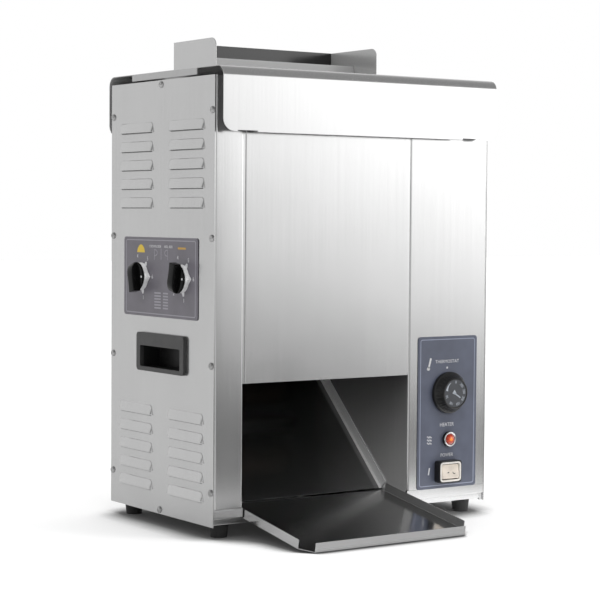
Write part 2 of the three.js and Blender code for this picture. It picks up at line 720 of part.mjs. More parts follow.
// Side cover, drawn as the left one with its captive screws. The right one is the same pressing
// turned half round.
function makeSideCover(holes) {
  const panel = prism(roundedRectangle(0, PANEL_BOTTOM, BODY_DEPTH, PANEL_TOP, 0), 'x', 0, SHEET);
  const pocket = box(
    -OVERRUN, SHEET + OVERRUN,
    HANDLE_Y - HANDLE_WIDTH / 2 + HANDLE_RIM - HANDLE_WALL - SEAT,
    HANDLE_Y + HANDLE_WIDTH / 2 - HANDLE_RIM + HANDLE_WALL + SEAT,
    HANDLE_BOTTOM + HANDLE_MOUTH_BOTTOM - HANDLE_WALL - SEAT,
    HANDLE_BOTTOM + HANDLE_MOUTH_BOTTOM + HANDLE_POCKET_HEIGHT + HANDLE_WALL + SEAT,
  );
  const screw = makeScrew();
  const outward = new Matrix4().makeRotationY(-Math.PI / 2);
  const screws = coverScrewPlaces()
    .map(([y, z]) => place(screw, outward, new Matrix4().makeTranslation(0, y, z)));
  const places = louvrePlaces();
  const hooded = join(panel, ...places.map(([y, z]) => louvreHood(y, z)), ...screws);
  return cut(hooded, pocket, ...places.map(([y, z]) => louvreThroat(y, z)), ...holes);
}

// Front or rear conveyor cover: a flat panel with its edges folded in.
function makeConveyorCover(bottom) {
  const left = WALL_LEFT + COVER_PANEL_LEFT_GAP;
  const right = WALL_RIGHT - COVER_PANEL_RIGHT_GAP;
  const inner = SHEET / 2;
  const plan = foldedOutline([
    [left + inner, PANEL_RETURN],
    [left + inner, inner],
    [right - inner, inner],
    [right - inner, PANEL_RETURN],
  ], TIGHT_BEND);
  const hem = box(
    left + inner, right - inner, inner, PANEL_RETURN - SHEET, bottom + inner, bottom + inner + SHEET,
  );
  return join(prism(plan, 'z', bottom, PANEL_TOP), hem);
}

// Top cover: an inverted U whose front skirt stands well clear of the front.
function makeTopCover() {
  const inner = SHEET / 2;
  const front = -COVER_FRONT_REACH + inner;
  const rear = BODY_DEPTH + COVER_REAR_REACH - inner;
  const left = COVER_INSET;
  const right = BODY_WIDTH - COVER_INSET;
  const section = foldedOutline([
    [front, SKIRT_BOTTOM], [front, COVER_TOP - inner], [rear, COVER_TOP - inner], [rear, SKIRT_BOTTOM],
  ], COVER_BEND, SHEET, CORNER_STEPS);
  const hems = [front - inner, rear + inner - HEM_DEPTH].map((y) => box(
    left + HEM_LEFT_INSET, right - HEM_RIGHT_INSET,
    y, y + HEM_DEPTH,
    SKIRT_BOTTOM, SKIRT_BOTTOM + SHEET,
  ));
  const outline = prism(
    roundedRectangle(left, SKIRT_BOTTOM, right, COVER_TOP, [SKIRT_CORNER, SKIRT_CORNER, 0, 0], CORNER_STEPS),
    'y', front - OVERRUN, rear + OVERRUN,
  );
  const notch = (x) => box(
    x, x + NOTCH_LENGTH,
    front - OVERRUN, front + OVERRUN,
    SKIRT_BOTTOM - OVERRUN, SKIRT_BOTTOM + NOTCH_HEIGHT,
  );
  const tabMiddle = (front + rear) / 2;
  const tab = (x) => box(
    x, x + SHEET,
    tabMiddle - TAB_LENGTH / 2, tabMiddle + TAB_LENGTH / 2,
    COVER_TOP - TAB_DEPTH, COVER_TOP - inner,
  );
  const slot = ([y0, y1]) => prism(
    roundedRectangle(FEEDER_LEFT + SLOT_MARGIN, y0, FEEDER_RIGHT - SLOT_MARGIN, y1, SLOT_CORNER),
    'z', COVER_TOP - SHEET - OVERRUN, COVER_TOP + OVERRUN,
  );
  const whole = join(prism(section, 'x', left, right), ...hems, tab(left), tab(right - SHEET));
  return cut(
    whole.intersect(outline),
    notch(left + HEM_LEFT_INSET - NOTCH_LENGTH),
    notch(right - HEM_RIGHT_INSET),
    ...bunSlots().map(slot),
  );
}

// Front and rear bun slot of the top cover, as spans in y on each side of the divider.
function bunSlots() {
  return [
    [FEEDER_FRONT + SLOT_MARGIN, DIVIDER_Y - DIVIDER_WIDTH / 2 - SHEET],
    [DIVIDER_Y + DIVIDER_WIDTH / 2 + SHEET, FEEDER_REAR - SLOT_MARGIN],
  ];
}

// Bun feeder: two side plates and the rear wall in one fold, with a low lip across the front.
function makeFeeder() {
  const inner = SHEET / 2;
  const plan = foldedOutline([
    [FEEDER_LEFT + inner, FEEDER_FRONT],
    [FEEDER_LEFT + inner, FEEDER_REAR - inner],
    [FEEDER_RIGHT - inner, FEEDER_REAR - inner],
    [FEEDER_RIGHT - inner, FEEDER_FRONT],
  ], TIGHT_BEND);
  const top = FEEDER_BOTTOM + FEEDER_HEIGHT;
  const profile = roundedRectangle(
    FEEDER_FRONT, FEEDER_BOTTOM, FEEDER_REAR + OVERRUN, top, [0, 0, 0, FEEDER_CORNER], CORNER_STEPS,
  );
  const guard = prism(plan, 'z', FEEDER_BOTTOM, top)
    .intersect(prism(profile, 'x', FEEDER_LEFT - OVERRUN, FEEDER_RIGHT + OVERRUN));
  const lip = box(
    FEEDER_LEFT + inner, FEEDER_RIGHT - inner, FEEDER_FRONT + inner, FEEDER_FRONT + inner + SHEET,
    FEEDER_BOTTOM + SEAT, FEEDER_BOTTOM + FEEDER_LIP,
  );
  return join(guard, lip);
}

function makeDivider() {
  const half = (DIVIDER_WIDTH - SHEET) / 2;
  const section = foldedOutline([
    [DIVIDER_Y - half, FEEDER_BOTTOM],
    [DIVIDER_Y, FEEDER_BOTTOM + DIVIDER_HEIGHT],
    [DIVIDER_Y + half, FEEDER_BOTTOM],
  ], TIGHT_BEND);
  const floor = box(
    FEEDER_LEFT, FEEDER_RIGHT, DIVIDER_Y - DIVIDER_WIDTH, DIVIDER_Y + DIVIDER_WIDTH,
    FEEDER_BOTTOM - OVERRUN, FEEDER_BOTTOM,
  );
  return cut(prism(section, 'x', FEEDER_LEFT + SHEET + SEAT, FEEDER_RIGHT - SHEET - SEAT), floor);
}

// Height of the tray's floor above the ground, at a place in y.
function trayFloorZ(y) {
  const seat = GATE_Z + SEAT;
  return seat + (y - PLINTH_SETBACK) * Math.tan(TRAY_SLOPE) + SHEET / Math.cos(TRAY_SLOPE);
}

// Chute slide: from the rear cover down to the tray, with a flange along each side.
function makeSlide() {
  const left = WALL_LEFT + SLIDE_SIDE_GAP;
  const right = WALL_RIGHT - SLIDE_SIDE_GAP;
  const inner = SHEET / 2;
  const footZ = trayFloorZ(SLIDE_FOOT_Y) + SLIDE_CLEARANCE;
  const headY = BODY_DEPTH - PANEL_RETURN - SEAT - inner;
  const headZ = footZ + (headY - SLIDE_FOOT_Y) * Math.tan(SLIDE_SLOPE);
  const section = foldedOutline([
    [SLIDE_FOOT_Y, footZ], [headY, headZ], [headY, headZ + SLIDE_TOP_LIP],
  ], TIGHT_BEND);
  const along = (y, height) => [
    y - height * Math.sin(SLIDE_SLOPE),
    footZ + (y - SLIDE_FOOT_Y) * Math.tan(SLIDE_SLOPE) + height * Math.cos(SLIDE_SLOPE),
  ];
  const [nearY, farY] = [SLIDE_FOOT_Y + SHEET, headY - SLIDE_FLANGE];
  const flange = polygon([
    along(nearY, 0), along(farY, 0), along(farY, SLIDE_FLANGE), along(nearY, SLIDE_FLANGE),
  ]);
  return join(
    prism(section, 'x', left + inner, right - inner),
    prism(flange, 'x', left, left + SHEET),
    prism(flange, 'x', right - SHEET, right),
  );
}

// Landing tray, drawn flat with its underside at z 0 and the plinth under y 0.
function makeTray() {
  const left = WALL_LEFT + TRAY_SIDE_GAP;
  const right = WALL_RIGHT - TRAY_SIDE_GAP;
  const front = -TRAY_FRONT_REACH;
  const rear = TRAY_REAR_REACH;
  const floor = prism(polygon([
    [left, rear], [left, front + TRAY_CORNER_DEPTH], [left + TRAY_CORNER_WIDTH, front],
    [right - TRAY_CORNER_WIDTH, front], [right, front + TRAY_CORNER_DEPTH], [right, rear],
  ]), 'z', 0, SHEET);
  const sideLip = (x) => box(
    x, x + SHEET, front + TRAY_CORNER_DEPTH, rear - TRAY_LIP_REAR_GAP, SHEET / 2, TRAY_LIP,
  );
  const frontLip = box(
    left + TRAY_CORNER_WIDTH, right - TRAY_CORNER_WIDTH, front, front + SHEET, SHEET / 2, TRAY_LIP,
  );
  return join(floor, sideLip(left), sideLip(right - SHEET), frontLip);
}

// Platen plate, on the front (-1) or rear (+1) side of the heating elements.
function makePlatenPlate(side) {
  const near = CORE_Y + side * PLATEN_INNER;
  const far = CORE_Y + side * PLATEN_OUTER;
  return box(
    PLATEN_LEFT, PLATEN_RIGHT,
    Math.min(near, far), Math.max(near, far),
    PLATEN_Z, PLATEN_Z + PLATEN_HEIGHT,
  );
}

// Heights of the two legs of each element.
function elementLegs() {
  const legs = [];
  const room = PLATEN_HEIGHT - ELEMENT_LOW_GAP - ELEMENT_HIGH_GAP - ELEMENT_LOOP;
  for (let i = 0; i < ELEMENT_COUNT; i += 1) {
    const low = PLATEN_Z + ELEMENT_LOW_GAP + room * (i / (ELEMENT_COUNT - 1));
    legs.push(low, low + ELEMENT_LOOP);
  }
  return legs;
}

// Tubular element: two legs and a slightly thinner bend that runs a little way into both.
function makeElement(lowZ) {
  const tail = WALL_RIGHT + SHEET + ELEMENT_TAIL;
  const radius = ELEMENT_LOOP / 2;
  const turnX = PLATEN_LEFT + ELEMENT_TURN_INSET + radius;
  const at = (x, z) => new Vector3(x, CORE_Y, z);
  const path = new CurvePath();
  path.add(new LineCurve3(at(turnX + ELEMENT_BEND_LAP, lowZ), at(turnX, lowZ)));
  path.add(new CubicBezierCurve3(
    at(turnX, lowZ), at(turnX - radius * ROUND_SHARE, lowZ),
    at(turnX - radius, lowZ + radius * (1 - ROUND_SHARE)), at(turnX - radius, lowZ + radius),
  ));
  path.add(new CubicBezierCurve3(
    at(turnX - radius, lowZ + radius), at(turnX - radius, lowZ + radius * (1 + ROUND_SHARE)),
    at(turnX - radius * ROUND_SHARE, lowZ + ELEMENT_LOOP), at(turnX, lowZ + ELEMENT_LOOP),
  ));
  path.add(new LineCurve3(
    at(turnX, lowZ + ELEMENT_LOOP), at(turnX + ELEMENT_BEND_LAP, lowZ + ELEMENT_LOOP),
  ));
  const section = circle(0, 0, ELEMENT_RADIUS - ELEMENT_BEND_THINNING, ELEMENT_SIDES);
  const bend = solid(new ExtrudeGeometry(section, {
    steps: ELEMENT_BEND_STEPS, extrudePath: path, bevelEnabled: false,
  }));
  const leg = (z) => rod('x', CORE_Y, z, ELEMENT_RADIUS, turnX, tail, ELEMENT_SIDES);
  return join(leg(lowZ), leg(lowZ + ELEMENT_LOOP), bend);
}

function makeReleaseSheet() {
  const reach = PLATEN_OUTER + SEAT + RELEASE_SHEET / 2;
  const top = PLATEN_Z + PLATEN_HEIGHT + SEAT + RELEASE_SHEET / 2;
  const section = foldedOutline([
    [CORE_Y - reach, PLATEN_Z - RELEASE_DROP], [CORE_Y - reach, top],
    [CORE_Y + reach, top], [CORE_Y + reach, PLATEN_Z - RELEASE_DROP],
  ], 2 * RELEASE_SHEET, RELEASE_SHEET);
  return prism(section, 'x', PLATEN_LEFT + RELEASE_SIDE_INSET, PLATEN_RIGHT - RELEASE_SIDE_INSET);
}

// The conveyor pieces below are drawn with the drive axis at y 0, z 0.

// Belt loop with ribs across its two straight runs.
function makeBelt() {
  const loop = (radius) => [
    ...arc(0, 0, radius, Math.PI, 2 * Math.PI, BELT_STEPS),
    ...arc(0, BELT_LENGTH, radius, 0, Math.PI, BELT_STEPS),
  ];
  const outline = polygon(loop(BELT_OUTER_RADIUS));
  outline.holes.push(new Path(loop(BELT_INNER_RADIUS).map(([u, v]) => new Vector2(u, v))));
  const ribs = [];
  for (let i = 0; i < RIB_COUNT; i += 1) {
    const z = BELT_LENGTH * ((i + 1 / 2) / RIB_COUNT);
    const root = BELT_OUTER_RADIUS - BELT_THICKNESS / 2;
    const tip = BELT_OUTER_RADIUS + RIB_HEIGHT;
    const reach = RIB_WIDTH / 2;
    ribs.push(box(BELT_LEFT, BELT_RIGHT, root, tip, z - reach, z + reach));
    ribs.push(box(BELT_LEFT, BELT_RIGHT, -tip, -root, z - reach, z + reach));
  }
  return join(prism(outline, 'x', BELT_LEFT, BELT_RIGHT), ...ribs);
}

// Roller on its shaft, which runs from one x to another.
function makeRoller(shaftFrom, shaftTo) {
  const profile = [
    [0, shaftFrom], [ROLLER_SHAFT_RADIUS, shaftFrom], [ROLLER_SHAFT_RADIUS, BELT_LEFT],
    [ROLLER_RADIUS, BELT_LEFT], [ROLLER_RADIUS, BELT_RIGHT], [ROLLER_SHAFT_RADIUS, BELT_RIGHT],
    [ROLLER_SHAFT_RADIUS, shaftTo], [0, shaftTo],
  ];
  return place(turned(profile, ROUND_SIDES), Z_TO_X);
}

// Two side plates with tie rods between them. Each plate has a window for the compression shaft
// and a pad that the cam bears on, on the platen's side.
function makeConveyorFrame(padSide) {
  const windowZ = CAM_Z - DRIVE_Z;
  const outline = [
    ...arc(0, 0, FRAME_RADIUS, Math.PI, 2 * Math.PI, SMALL_SIDES),
    ...arc(0, BELT_LENGTH, FRAME_RADIUS, 0, Math.PI, SMALL_SIDES),
  ];
  const hole = (z, radius) => rod('x', 0, z, radius, FRAME_LEFT - OVERRUN, FRAME_RIGHT + OVERRUN);
  const plate = (x) => prism(polygon(outline), 'x', x, x + FRAME_THICKNESS);
  const ties = [];
  for (let i = 1; i <= TIE_COUNT; i += 1) {
    const z = windowZ + (BELT_LENGTH - windowZ) * (i / (TIE_COUNT + 1));
    ties.push(rod('x', 0, z, TIE_RADIUS, FRAME_LEFT, FRAME_RIGHT, SMALL_SIDES));
  }
  const near = padSide * (CAM_REST_RADIUS + SEAT);
  const far = padSide * FRAME_RADIUS;
  const pad = (x0, x1) => box(
    x0, x1,
    Math.min(near, far), Math.max(near, far),
    windowZ - PAD_HEIGHT / 2, windowZ + PAD_HEIGHT / 2,
  );
  return join(
    cut(
      join(plate(FRAME_LEFT), plate(FRAME_RIGHT - FRAME_THICKNESS)),
      hole(0, ROLLER_SHAFT_RADIUS + SEAT),
      hole(BELT_LENGTH, ROLLER_SHAFT_RADIUS + SEAT),
      box(
        FRAME_LEFT - OVERRUN, FRAME_RIGHT + OVERRUN,
        -CAM_WINDOW, CAM_WINDOW,
        windowZ - CAM_WINDOW, windowZ + CAM_WINDOW,
      ),
    ),
    ...ties,
    pad(FRAME_LEFT, FRAME_LEFT + FRAME_THICKNESS + CAM_GAP + CAM_WIDTH),
    pad(FRAME_RIGHT - FRAME_THICKNESS - CAM_GAP - CAM_WIDTH, FRAME_RIGHT),
  );
}

// Snail cam: its radius falls steadily with the angle, so that the pad moves as the knob turns.
function camOutline(contactAngle) {
  const points = [];
  const end = CAM_SWEEP + CAM_DWELL;
  for (let i = 0; i <= CAM_STEPS; i += 1) {
    const turn = -CAM_DWELL + (end + CAM_DWELL) * (i / CAM_STEPS);
    const share = MathUtils.clamp(turn / CAM_SWEEP, 0, 1);
    const radius = CAM_SMALL_RADIUS + CAM_RISE * share;
    const angle = contactAngle + CAM_REST - turn;
    points.push([radius * Math.cos(angle), radius * Math.sin(angle)]);
  }
  return polygon(points.reverse());
}

// Compression shaft with a cam beside each side plate, about its own axis.
function makeCamShaft(contactAngle) {
  const inset = FRAME_THICKNESS + CAM_GAP;
  const camX = [FRAME_LEFT + inset, FRAME_RIGHT - inset - CAM_WIDTH];
  const knobFace = -SEAT - PLATE_SHEET - SEAT - POINTER_HEIGHT - SEAT;
  const [shaftFrom, shaftTo] = [knobFace - KNOB_BORE_DEPTH + SEAT, WALL_RIGHT + SHEET + COLLAR_LENGTH];
  return join(
    rod('x', 0, 0, CAM_SHAFT_RADIUS, shaftFrom, shaftTo),
    ...camX.map((x) => prism(camOutline(contactAngle), 'x', x, x + CAM_WIDTH)),
  );
}

// Pointer skirt under the knob, about Z with its tip along +X.
function makePointer() {
  const points = [];
  for (let i = 0; i < POINTER_STEPS; i += 1) {
    const angle = 2 * Math.PI * (i / POINTER_STEPS);
    const away = Math.min(angle, 2 * Math.PI - angle) / POINTER_NUB;
    const nub = away < 1 ? (1 - away) * (1 - away) : 0;
    const radius = POINTER_RADIUS + POINTER_REACH * nub;
    points.push([radius * Math.cos(angle), radius * Math.sin(angle)]);
  }
  const skirt = prism(polygon(points), 'z', 0, POINTER_HEIGHT);
  return cut(skirt, rod('z', 0, 0, CAM_SHAFT_RADIUS + SEAT, -OVERRUN, POINTER_HEIGHT + OVERRUN));
}

// Knob: a disc with a finger bar, whose tail is cut square and whose nose falls to the disc in a curve.
function makeKnob() {
  const reach = KNOB_BAR_WIDTH / 2;
  const nose = Math.sqrt(KNOB_RADIUS ** 2 - reach ** 2);
  const profile = [[-KNOB_TAIL, KNOB_DISC / 2]];
  profile.push([nose, KNOB_DISC / 2]);
  for (let i = 0; i <= KNOB_NOSE_STEPS; i += 1) {
    const angle = (Math.PI / 2) * (i / KNOB_NOSE_STEPS);
    const along = KNOB_CREST + (nose - KNOB_CREST) * Math.cos(angle);
    profile.push([along, KNOB_DISC + KNOB_BAR_HEIGHT * Math.sin(angle)]);
  }
  profile.push([-KNOB_TAIL, KNOB_DISC + KNOB_BAR_HEIGHT]);
  const disc = rod('z', 0, 0, KNOB_RADIUS, 0, KNOB_DISC, KNOB_SIDES);
  const bar = prism(polygon(profile), 'x', -reach, reach);
  return cut(join(disc, bar), rod('z', 0, 0, CAM_SHAFT_RADIUS + SEAT, -OVERRUN, KNOB_BORE_DEPTH));
}

// Involute spur gear about X, with its first tooth or its first gap at the given angle.
function makeGear(phase) {
  const pitch = CONVEYOR_OFFSET;
  const base = pitch * Math.cos(PRESSURE_ANGLE);
  const tip = pitch + GEAR_ADDENDUM;
  const root = pitch - GEAR_DEDENDUM;
  const involute = (radius) => {
    const ratio = Math.max(radius / base, 1);
    const unwound = Math.sqrt(ratio * ratio - 1);
    return unwound - Math.atan(unwound);
  };
  const halfTooth = Math.PI / (2 * GEAR_TEETH) - GEAR_BACKLASH / (4 * pitch);
  const points = [];
  for (let tooth = 0; tooth < GEAR_TEETH; tooth += 1) {
    const middle = phase + 2 * Math.PI * (tooth / GEAR_TEETH);
    const flank = [];
    for (let i = 0; i <= FLANK_STEPS; i += 1) {
      const radius = base + (tip - base) * (i / FLANK_STEPS);
      flank.push([radius, halfTooth + involute(pitch) - involute(radius)]);
    }
    const outline = [[root, flank[0][1]], ...flank];
    for (const [radius, spread] of outline) {
      points.push([radius * Math.cos(middle - spread), radius * Math.sin(middle - spread)]);
    }
    for (const [radius, spread] of outline.reverse()) {
      points.push([radius * Math.cos(middle + spread), radius * Math.sin(middle + spread)]);
    }
  }
  return cut(
    prism(polygon(points), 'x', GEAR_X, GEAR_X + GEAR_WIDTH),
    rod('x', 0, 0, ROLLER_SHAFT_RADIUS + SEAT, GEAR_X - OVERRUN, GEAR_X + GEAR_WIDTH + OVERRUN),
  );
}

// Sprocket outline: each tooth is a point, with a flat root up to the next.
function sprocketOutline(radius, teeth) {
  const points = [];
  const root = radius - SPROCKET_TOOTH;
  for (let tooth = 0; tooth < teeth; tooth += 1) {
    const step = 2 * Math.PI / teeth;
    for (const [share, reach] of [[0, radius], [ROOT_SHARE, root], [1 - ROOT_SHARE, root]]) {
      const angle = (tooth + share) * step;
      points.push([reach * Math.cos(angle), reach * Math.sin(angle)]);
    }
  }
  return polygon(points);
}

// Chain drawn as a closed band round both sprockets, with the driven one at y 0, z 0.
function makeChain() {
  const loop = (extra) => {
    const big = DRIVEN_SPROCKET_RADIUS + CHAIN_GAP + extra;
    const small = MOTOR_SPROCKET_RADIUS + CHAIN_GAP + extra;
    const lean = Math.asin((big - small) / MOTOR_DROP);
    return [
      ...arc(0, 0, big, -lean, Math.PI + lean, ROUND_SIDES),
      ...arc(0, -MOTOR_DROP, small, Math.PI + lean, 2 * Math.PI - lean, 10),
    ];
  };
  const band = polygon(loop(CHAIN_THICKNESS));
  band.holes.push(new Path(loop(0).map(([u, v]) => new Vector2(u, v))));
  return prism(band, 'x', SPROCKET_X, SPROCKET_X + SPROCKET_WIDTH);
}

// Motor bracket: a hat section screwed to the wall, with the gearbox on its crown.
function makeMotorBracket() {
  const half = BRACKET_SHEET / 2;
  const wall = WALL_RIGHT + SHEET + SEAT + half;
  const crown = MOTOR_PLATE_X - half;
  const reach = MOTOR_BRACKET_HALF_WIDTH;
  const plan = foldedOutline([
    [wall, REAR_AXIS_Y - reach - MOTOR_BRACKET_FOOT], [wall, REAR_AXIS_Y - reach],
    [crown, REAR_AXIS_Y - reach], [crown, REAR_AXIS_Y + reach],
    [wall, REAR_AXIS_Y + reach], [wall, REAR_AXIS_Y + reach + MOTOR_BRACKET_FOOT],
  ], 2 * BRACKET_SHEET, BRACKET_SHEET);
  return cut(
    prism(plan, 'z', MOTOR_Z - MOTOR_BRACKET_HEIGHT / 2, MOTOR_Z + MOTOR_BRACKET_HEIGHT / 2),
    rod('x', REAR_AXIS_Y, MOTOR_Z, 2 * ROLLER_SHAFT_RADIUS, crown - OVERRUN, crown + OVERRUN),
  );
}

function makeMotorSprocket() {
  const outline = sprocketOutline(MOTOR_SPROCKET_RADIUS, MOTOR_SPROCKET_TEETH);
  const [shaftFrom, shaftTo] = [SPROCKET_X - SPROCKET_GAP, MOTOR_PLATE_X + GEARBOX_LENGTH / 4];
  return join(
    prism(outline, 'x', SPROCKET_X, SPROCKET_X + SPROCKET_WIDTH),
    rod('x', 0, 0, ROLLER_SHAFT_RADIUS, shaftFrom, shaftTo),
  );
}

function makeDrivenSprocket() {
  const teeth = MOTOR_SPROCKET_TEETH * (DRIVEN_SPROCKET_RADIUS / MOTOR_SPROCKET_RADIUS);
  const [from, to] = [SPROCKET_X, SPROCKET_X + SPROCKET_WIDTH];
  return cut(
    prism(sprocketOutline(DRIVEN_SPROCKET_RADIUS, teeth), 'x', from, to),
    rod('x', 0, 0, ROLLER_SHAFT_RADIUS + SEAT, from - OVERRUN, to + OVERRUN),
  );
}

function makeGearbox() {
  const from = MOTOR_PLATE_X + SEAT;
  const half = GEARBOX_SIZE / 2;
  const bore = ROLLER_SHAFT_RADIUS + SEAT;
  return cut(
    box(
      from, from + GEARBOX_LENGTH,
      REAR_AXIS_Y - half, REAR_AXIS_Y + half,
      MOTOR_Z - half, MOTOR_Z + half,
    ),
    rod('x', REAR_AXIS_Y, MOTOR_Z, bore, from - OVERRUN, from + GEARBOX_LENGTH / 2),
  );
}

function makeMotor() {
  const from = MOTOR_PLATE_X + SEAT + GEARBOX_LENGTH + SEAT;
  return rod('x', REAR_AXIS_Y, MOTOR_Z, MOTOR_RADIUS, from, from + MOTOR_LENGTH, MOTOR_SIDES);
}

// A thin plate on a face, with holes for what comes through it.
function makeCompressionPlate() {
  const y = BODY_DEPTH / 2;
  const halfWidth = COMPRESSION_PLATE_WIDTH / 2;
  const halfHeight = COMPRESSION_PLATE_HEIGHT / 2;
  const plate = prism(
    roundedRectangle(y - halfWidth, CAM_Z - halfHeight, y + halfWidth, CAM_Z + halfHeight, PLATE_CORNER),
    'x', PLATE_FACE_Y, -SEAT,
  );
  return cut(plate, ...knobShaftHoles());
}

function knobShaftHoles() {
  return [FRONT_AXIS_Y, REAR_AXIS_Y]
    .map((y) => rod('x', y, CAM_Z, SHAFT_HOLE_RADIUS, PLATE_FACE_Y - OVERRUN, SHEET + OVERRUN));
}

function makeControlPlate() {
  const plate = prism(roundedRectangle(
    CONTROL_LEFT, CONTROL_BOTTOM, CONTROL_LEFT + CONTROL_PLATE_WIDTH, CONTROL_BOTTOM + CONTROL_PLATE_HEIGHT,
    PLATE_CORNER,
  ), 'y', PLATE_FACE_Y, -SEAT);
  return cut(plate, ...controlHoles(PLATE_FACE_Y - OVERRUN, OVERRUN));
}

// The pieces on the control plate are drawn about Z, which points out of the machine's front.

// Thermostat body behind the front, with a collar that comes through the plate.
function makeThermostatBody() {
  const half = THERMOSTAT_WIDTH / 2;
  const back = -SHEET - SEAT;
  return cut(
    join(
      box(-half, half, -half, half, back - THERMOSTAT_DEPTH, back),
      rod('z', 0, 0, THERMOSTAT_COLLAR, back - SHEET, SEAT + PLATE_SHEET),
    ),
    rod('z', 0, 0, STEM_RADIUS + SEAT, back - STEM_REACH - SEAT, OVERRUN + SHEET),
  );
}

// Thermostat knob: a skirt, a cone with a flat dial face, and the stem that it sits on.
function makeDial() {
  const foot = SEAT + PLATE_SHEET + SEAT;
  return turned([
    [0, -SHEET - SEAT - STEM_REACH], [STEM_RADIUS, -SHEET - SEAT - STEM_REACH], [STEM_RADIUS, foot],
    [DIAL_SKIRT_RADIUS, foot], [DIAL_SKIRT_RADIUS, foot + DIAL_SKIRT_HEIGHT],
    [DIAL_NECK_RADIUS, foot + DIAL_SKIRT_HEIGHT + SHEET],
    [DIAL_FACE_RADIUS, foot + DIAL_HEIGHT], [0, foot + DIAL_HEIGHT],
  ], DIAL_SIDES);
}

function makeLampBezel() {
  const foot = SEAT + PLATE_SHEET + SEAT;
  const inner = LAMP_BEZEL_RADIUS - LAMP_WALL;
  const shankInner = LAMP_SHANK_RADIUS - SHEET;
  return turned([
    [LAMP_SHANK_RADIUS, foot], [LAMP_BEZEL_RADIUS, foot],
    [LAMP_BEZEL_RADIUS, foot + LAMP_BEZEL_HEIGHT - SHEET],
    [LAMP_BEZEL_RADIUS - SHEET, foot + LAMP_BEZEL_HEIGHT],
    [inner, foot + LAMP_BEZEL_HEIGHT], [inner, foot + SHEET], [shankInner, foot + SHEET],
    [shankInner, foot - LAMP_SHANK_LENGTH], [LAMP_SHANK_RADIUS, foot - LAMP_SHANK_LENGTH],
    [LAMP_SHANK_RADIUS, foot],
  ], LAMP_SIDES);
}

function makeLens() {
  const foot = SEAT + PLATE_SHEET + SEAT + SHEET + SEAT;
  const radius = LAMP_BEZEL_RADIUS - LAMP_WALL - SEAT;
  const rim = foot + LAMP_BEZEL_HEIGHT - SHEET - 2 * SEAT;
  const dome = [];
  for (let i = 0; i <= 4; i += 1) {
    const angle = (Math.PI / 2) * (i / 4);
    dome.push([radius * Math.cos(angle), rim + LENS_DOME * Math.sin(angle)]);
  }
  dome[dome.length - 1][0] = 0;
  return turned([[0, foot], [radius, foot], ...dome], 20);
}

// Power switch housing: a proud frame with a deep pocket for the rocker, and a body behind it.
function makeSwitchHousing() {
  const foot = SEAT + PLATE_SHEET + SEAT;
  const [w, h] = [SWITCH_WIDTH / 2, SWITCH_HEIGHT / 2];
  const [bw, bh] = [w - SWITCH_BODY_INSET, h - SWITCH_BODY_INSET];
  const [pw, ph] = [w - SWITCH_RIM, h - SWITCH_RIM];
  const pocket = roundedRectangle(-pw, -ph, pw, ph, SWITCH_CORNER - SWITCH_RIM);
  const pocketFloor = foot + SWITCH_PROUD - ROCKER_DEPTH - OVERRUN;
  return cut(
    join(
      prism(roundedRectangle(-w, -h, w, h, SWITCH_CORNER), 'z', foot, foot + SWITCH_PROUD),
      box(-bw, bw, -bh, bh, -SWITCH_BODY_DEPTH, foot + SHEET),
    ),
    prism(pocket, 'z', pocketFloor, foot + SWITCH_PROUD + OVERRUN),
  );
}

// Rocker, about its pivot: its two half faces meet in a shallow valley, and its tips keep inside
// an arc about the pivot, so that it turns in the frame with an even gap.
function makeRocker() {
  const w = SWITCH_WIDTH / 2 - SWITCH_RIM - ROCKER_GAP;
  const reach = SWITCH_HEIGHT / 2 - SWITCH_RIM - ROCKER_GAP;
  const tip = ROCKER_VALLEY + reach * Math.tan(ROCKER_TILT);
  const tipSide = Math.sqrt(reach * reach - tip * tip);
  const back = -ROCKER_DEPTH / 4;
  const backSide = Math.sqrt(reach * reach - back * back);
  const body = prism(polygon([
    [-backSide, back], [backSide, back], [reach, 0], [tipSide, tip],
    [0, ROCKER_VALLEY], [-tipSide, tip], [-reach, 0],
  ]), 'x', -w, w);
  const corners = roundedRectangle(-w, -reach, w, reach, SWITCH_CORNER - SWITCH_RIM);
  return body.intersect(prism(corners, 'z', back - OVERRUN, tip + OVERRUN));
}

// Recessed handle, drawn as the left one: a rounded bezel with a deep pocket behind its upper lip.
function makeHandle() {
  const y0 = HANDLE_Y - HANDLE_WIDTH / 2;
  const y1 = HANDLE_Y + HANDLE_WIDTH / 2;
  const mouth = HANDLE_BOTTOM + HANDLE_MOUTH_BOTTOM;
  const [m0, m1] = [y0 + HANDLE_RIM, y1 - HANDLE_RIM];
  const bezel = prism(
    roundedRectangle(y0, HANDLE_BOTTOM, y1, HANDLE_BOTTOM + HANDLE_HEIGHT, HANDLE_CORNER),
    'x', -SEAT - HANDLE_PROUD, -SEAT,
  );
  const shell = box(
    -SEAT - SHEET, HANDLE_POCKET_DEPTH + HANDLE_WALL, m0 - HANDLE_WALL, m1 + HANDLE_WALL,
    mouth - HANDLE_WALL, mouth + HANDLE_POCKET_HEIGHT + HANDLE_WALL,
  );
  const pocket = box(
    -SEAT - HANDLE_PROUD + HANDLE_WALL, HANDLE_POCKET_DEPTH, m0, m1, mouth, mouth + HANDLE_POCKET_HEIGHT,
  );
  const opening = prism(
    roundedRectangle(m0, mouth, m1, mouth + HANDLE_MOUTH_HEIGHT, HANDLE_WALL),
    'x', -HANDLE_PROUD - OVERRUN, OVERRUN,
  );
  return cut(join(bezel, shell), pocket, opening);
}

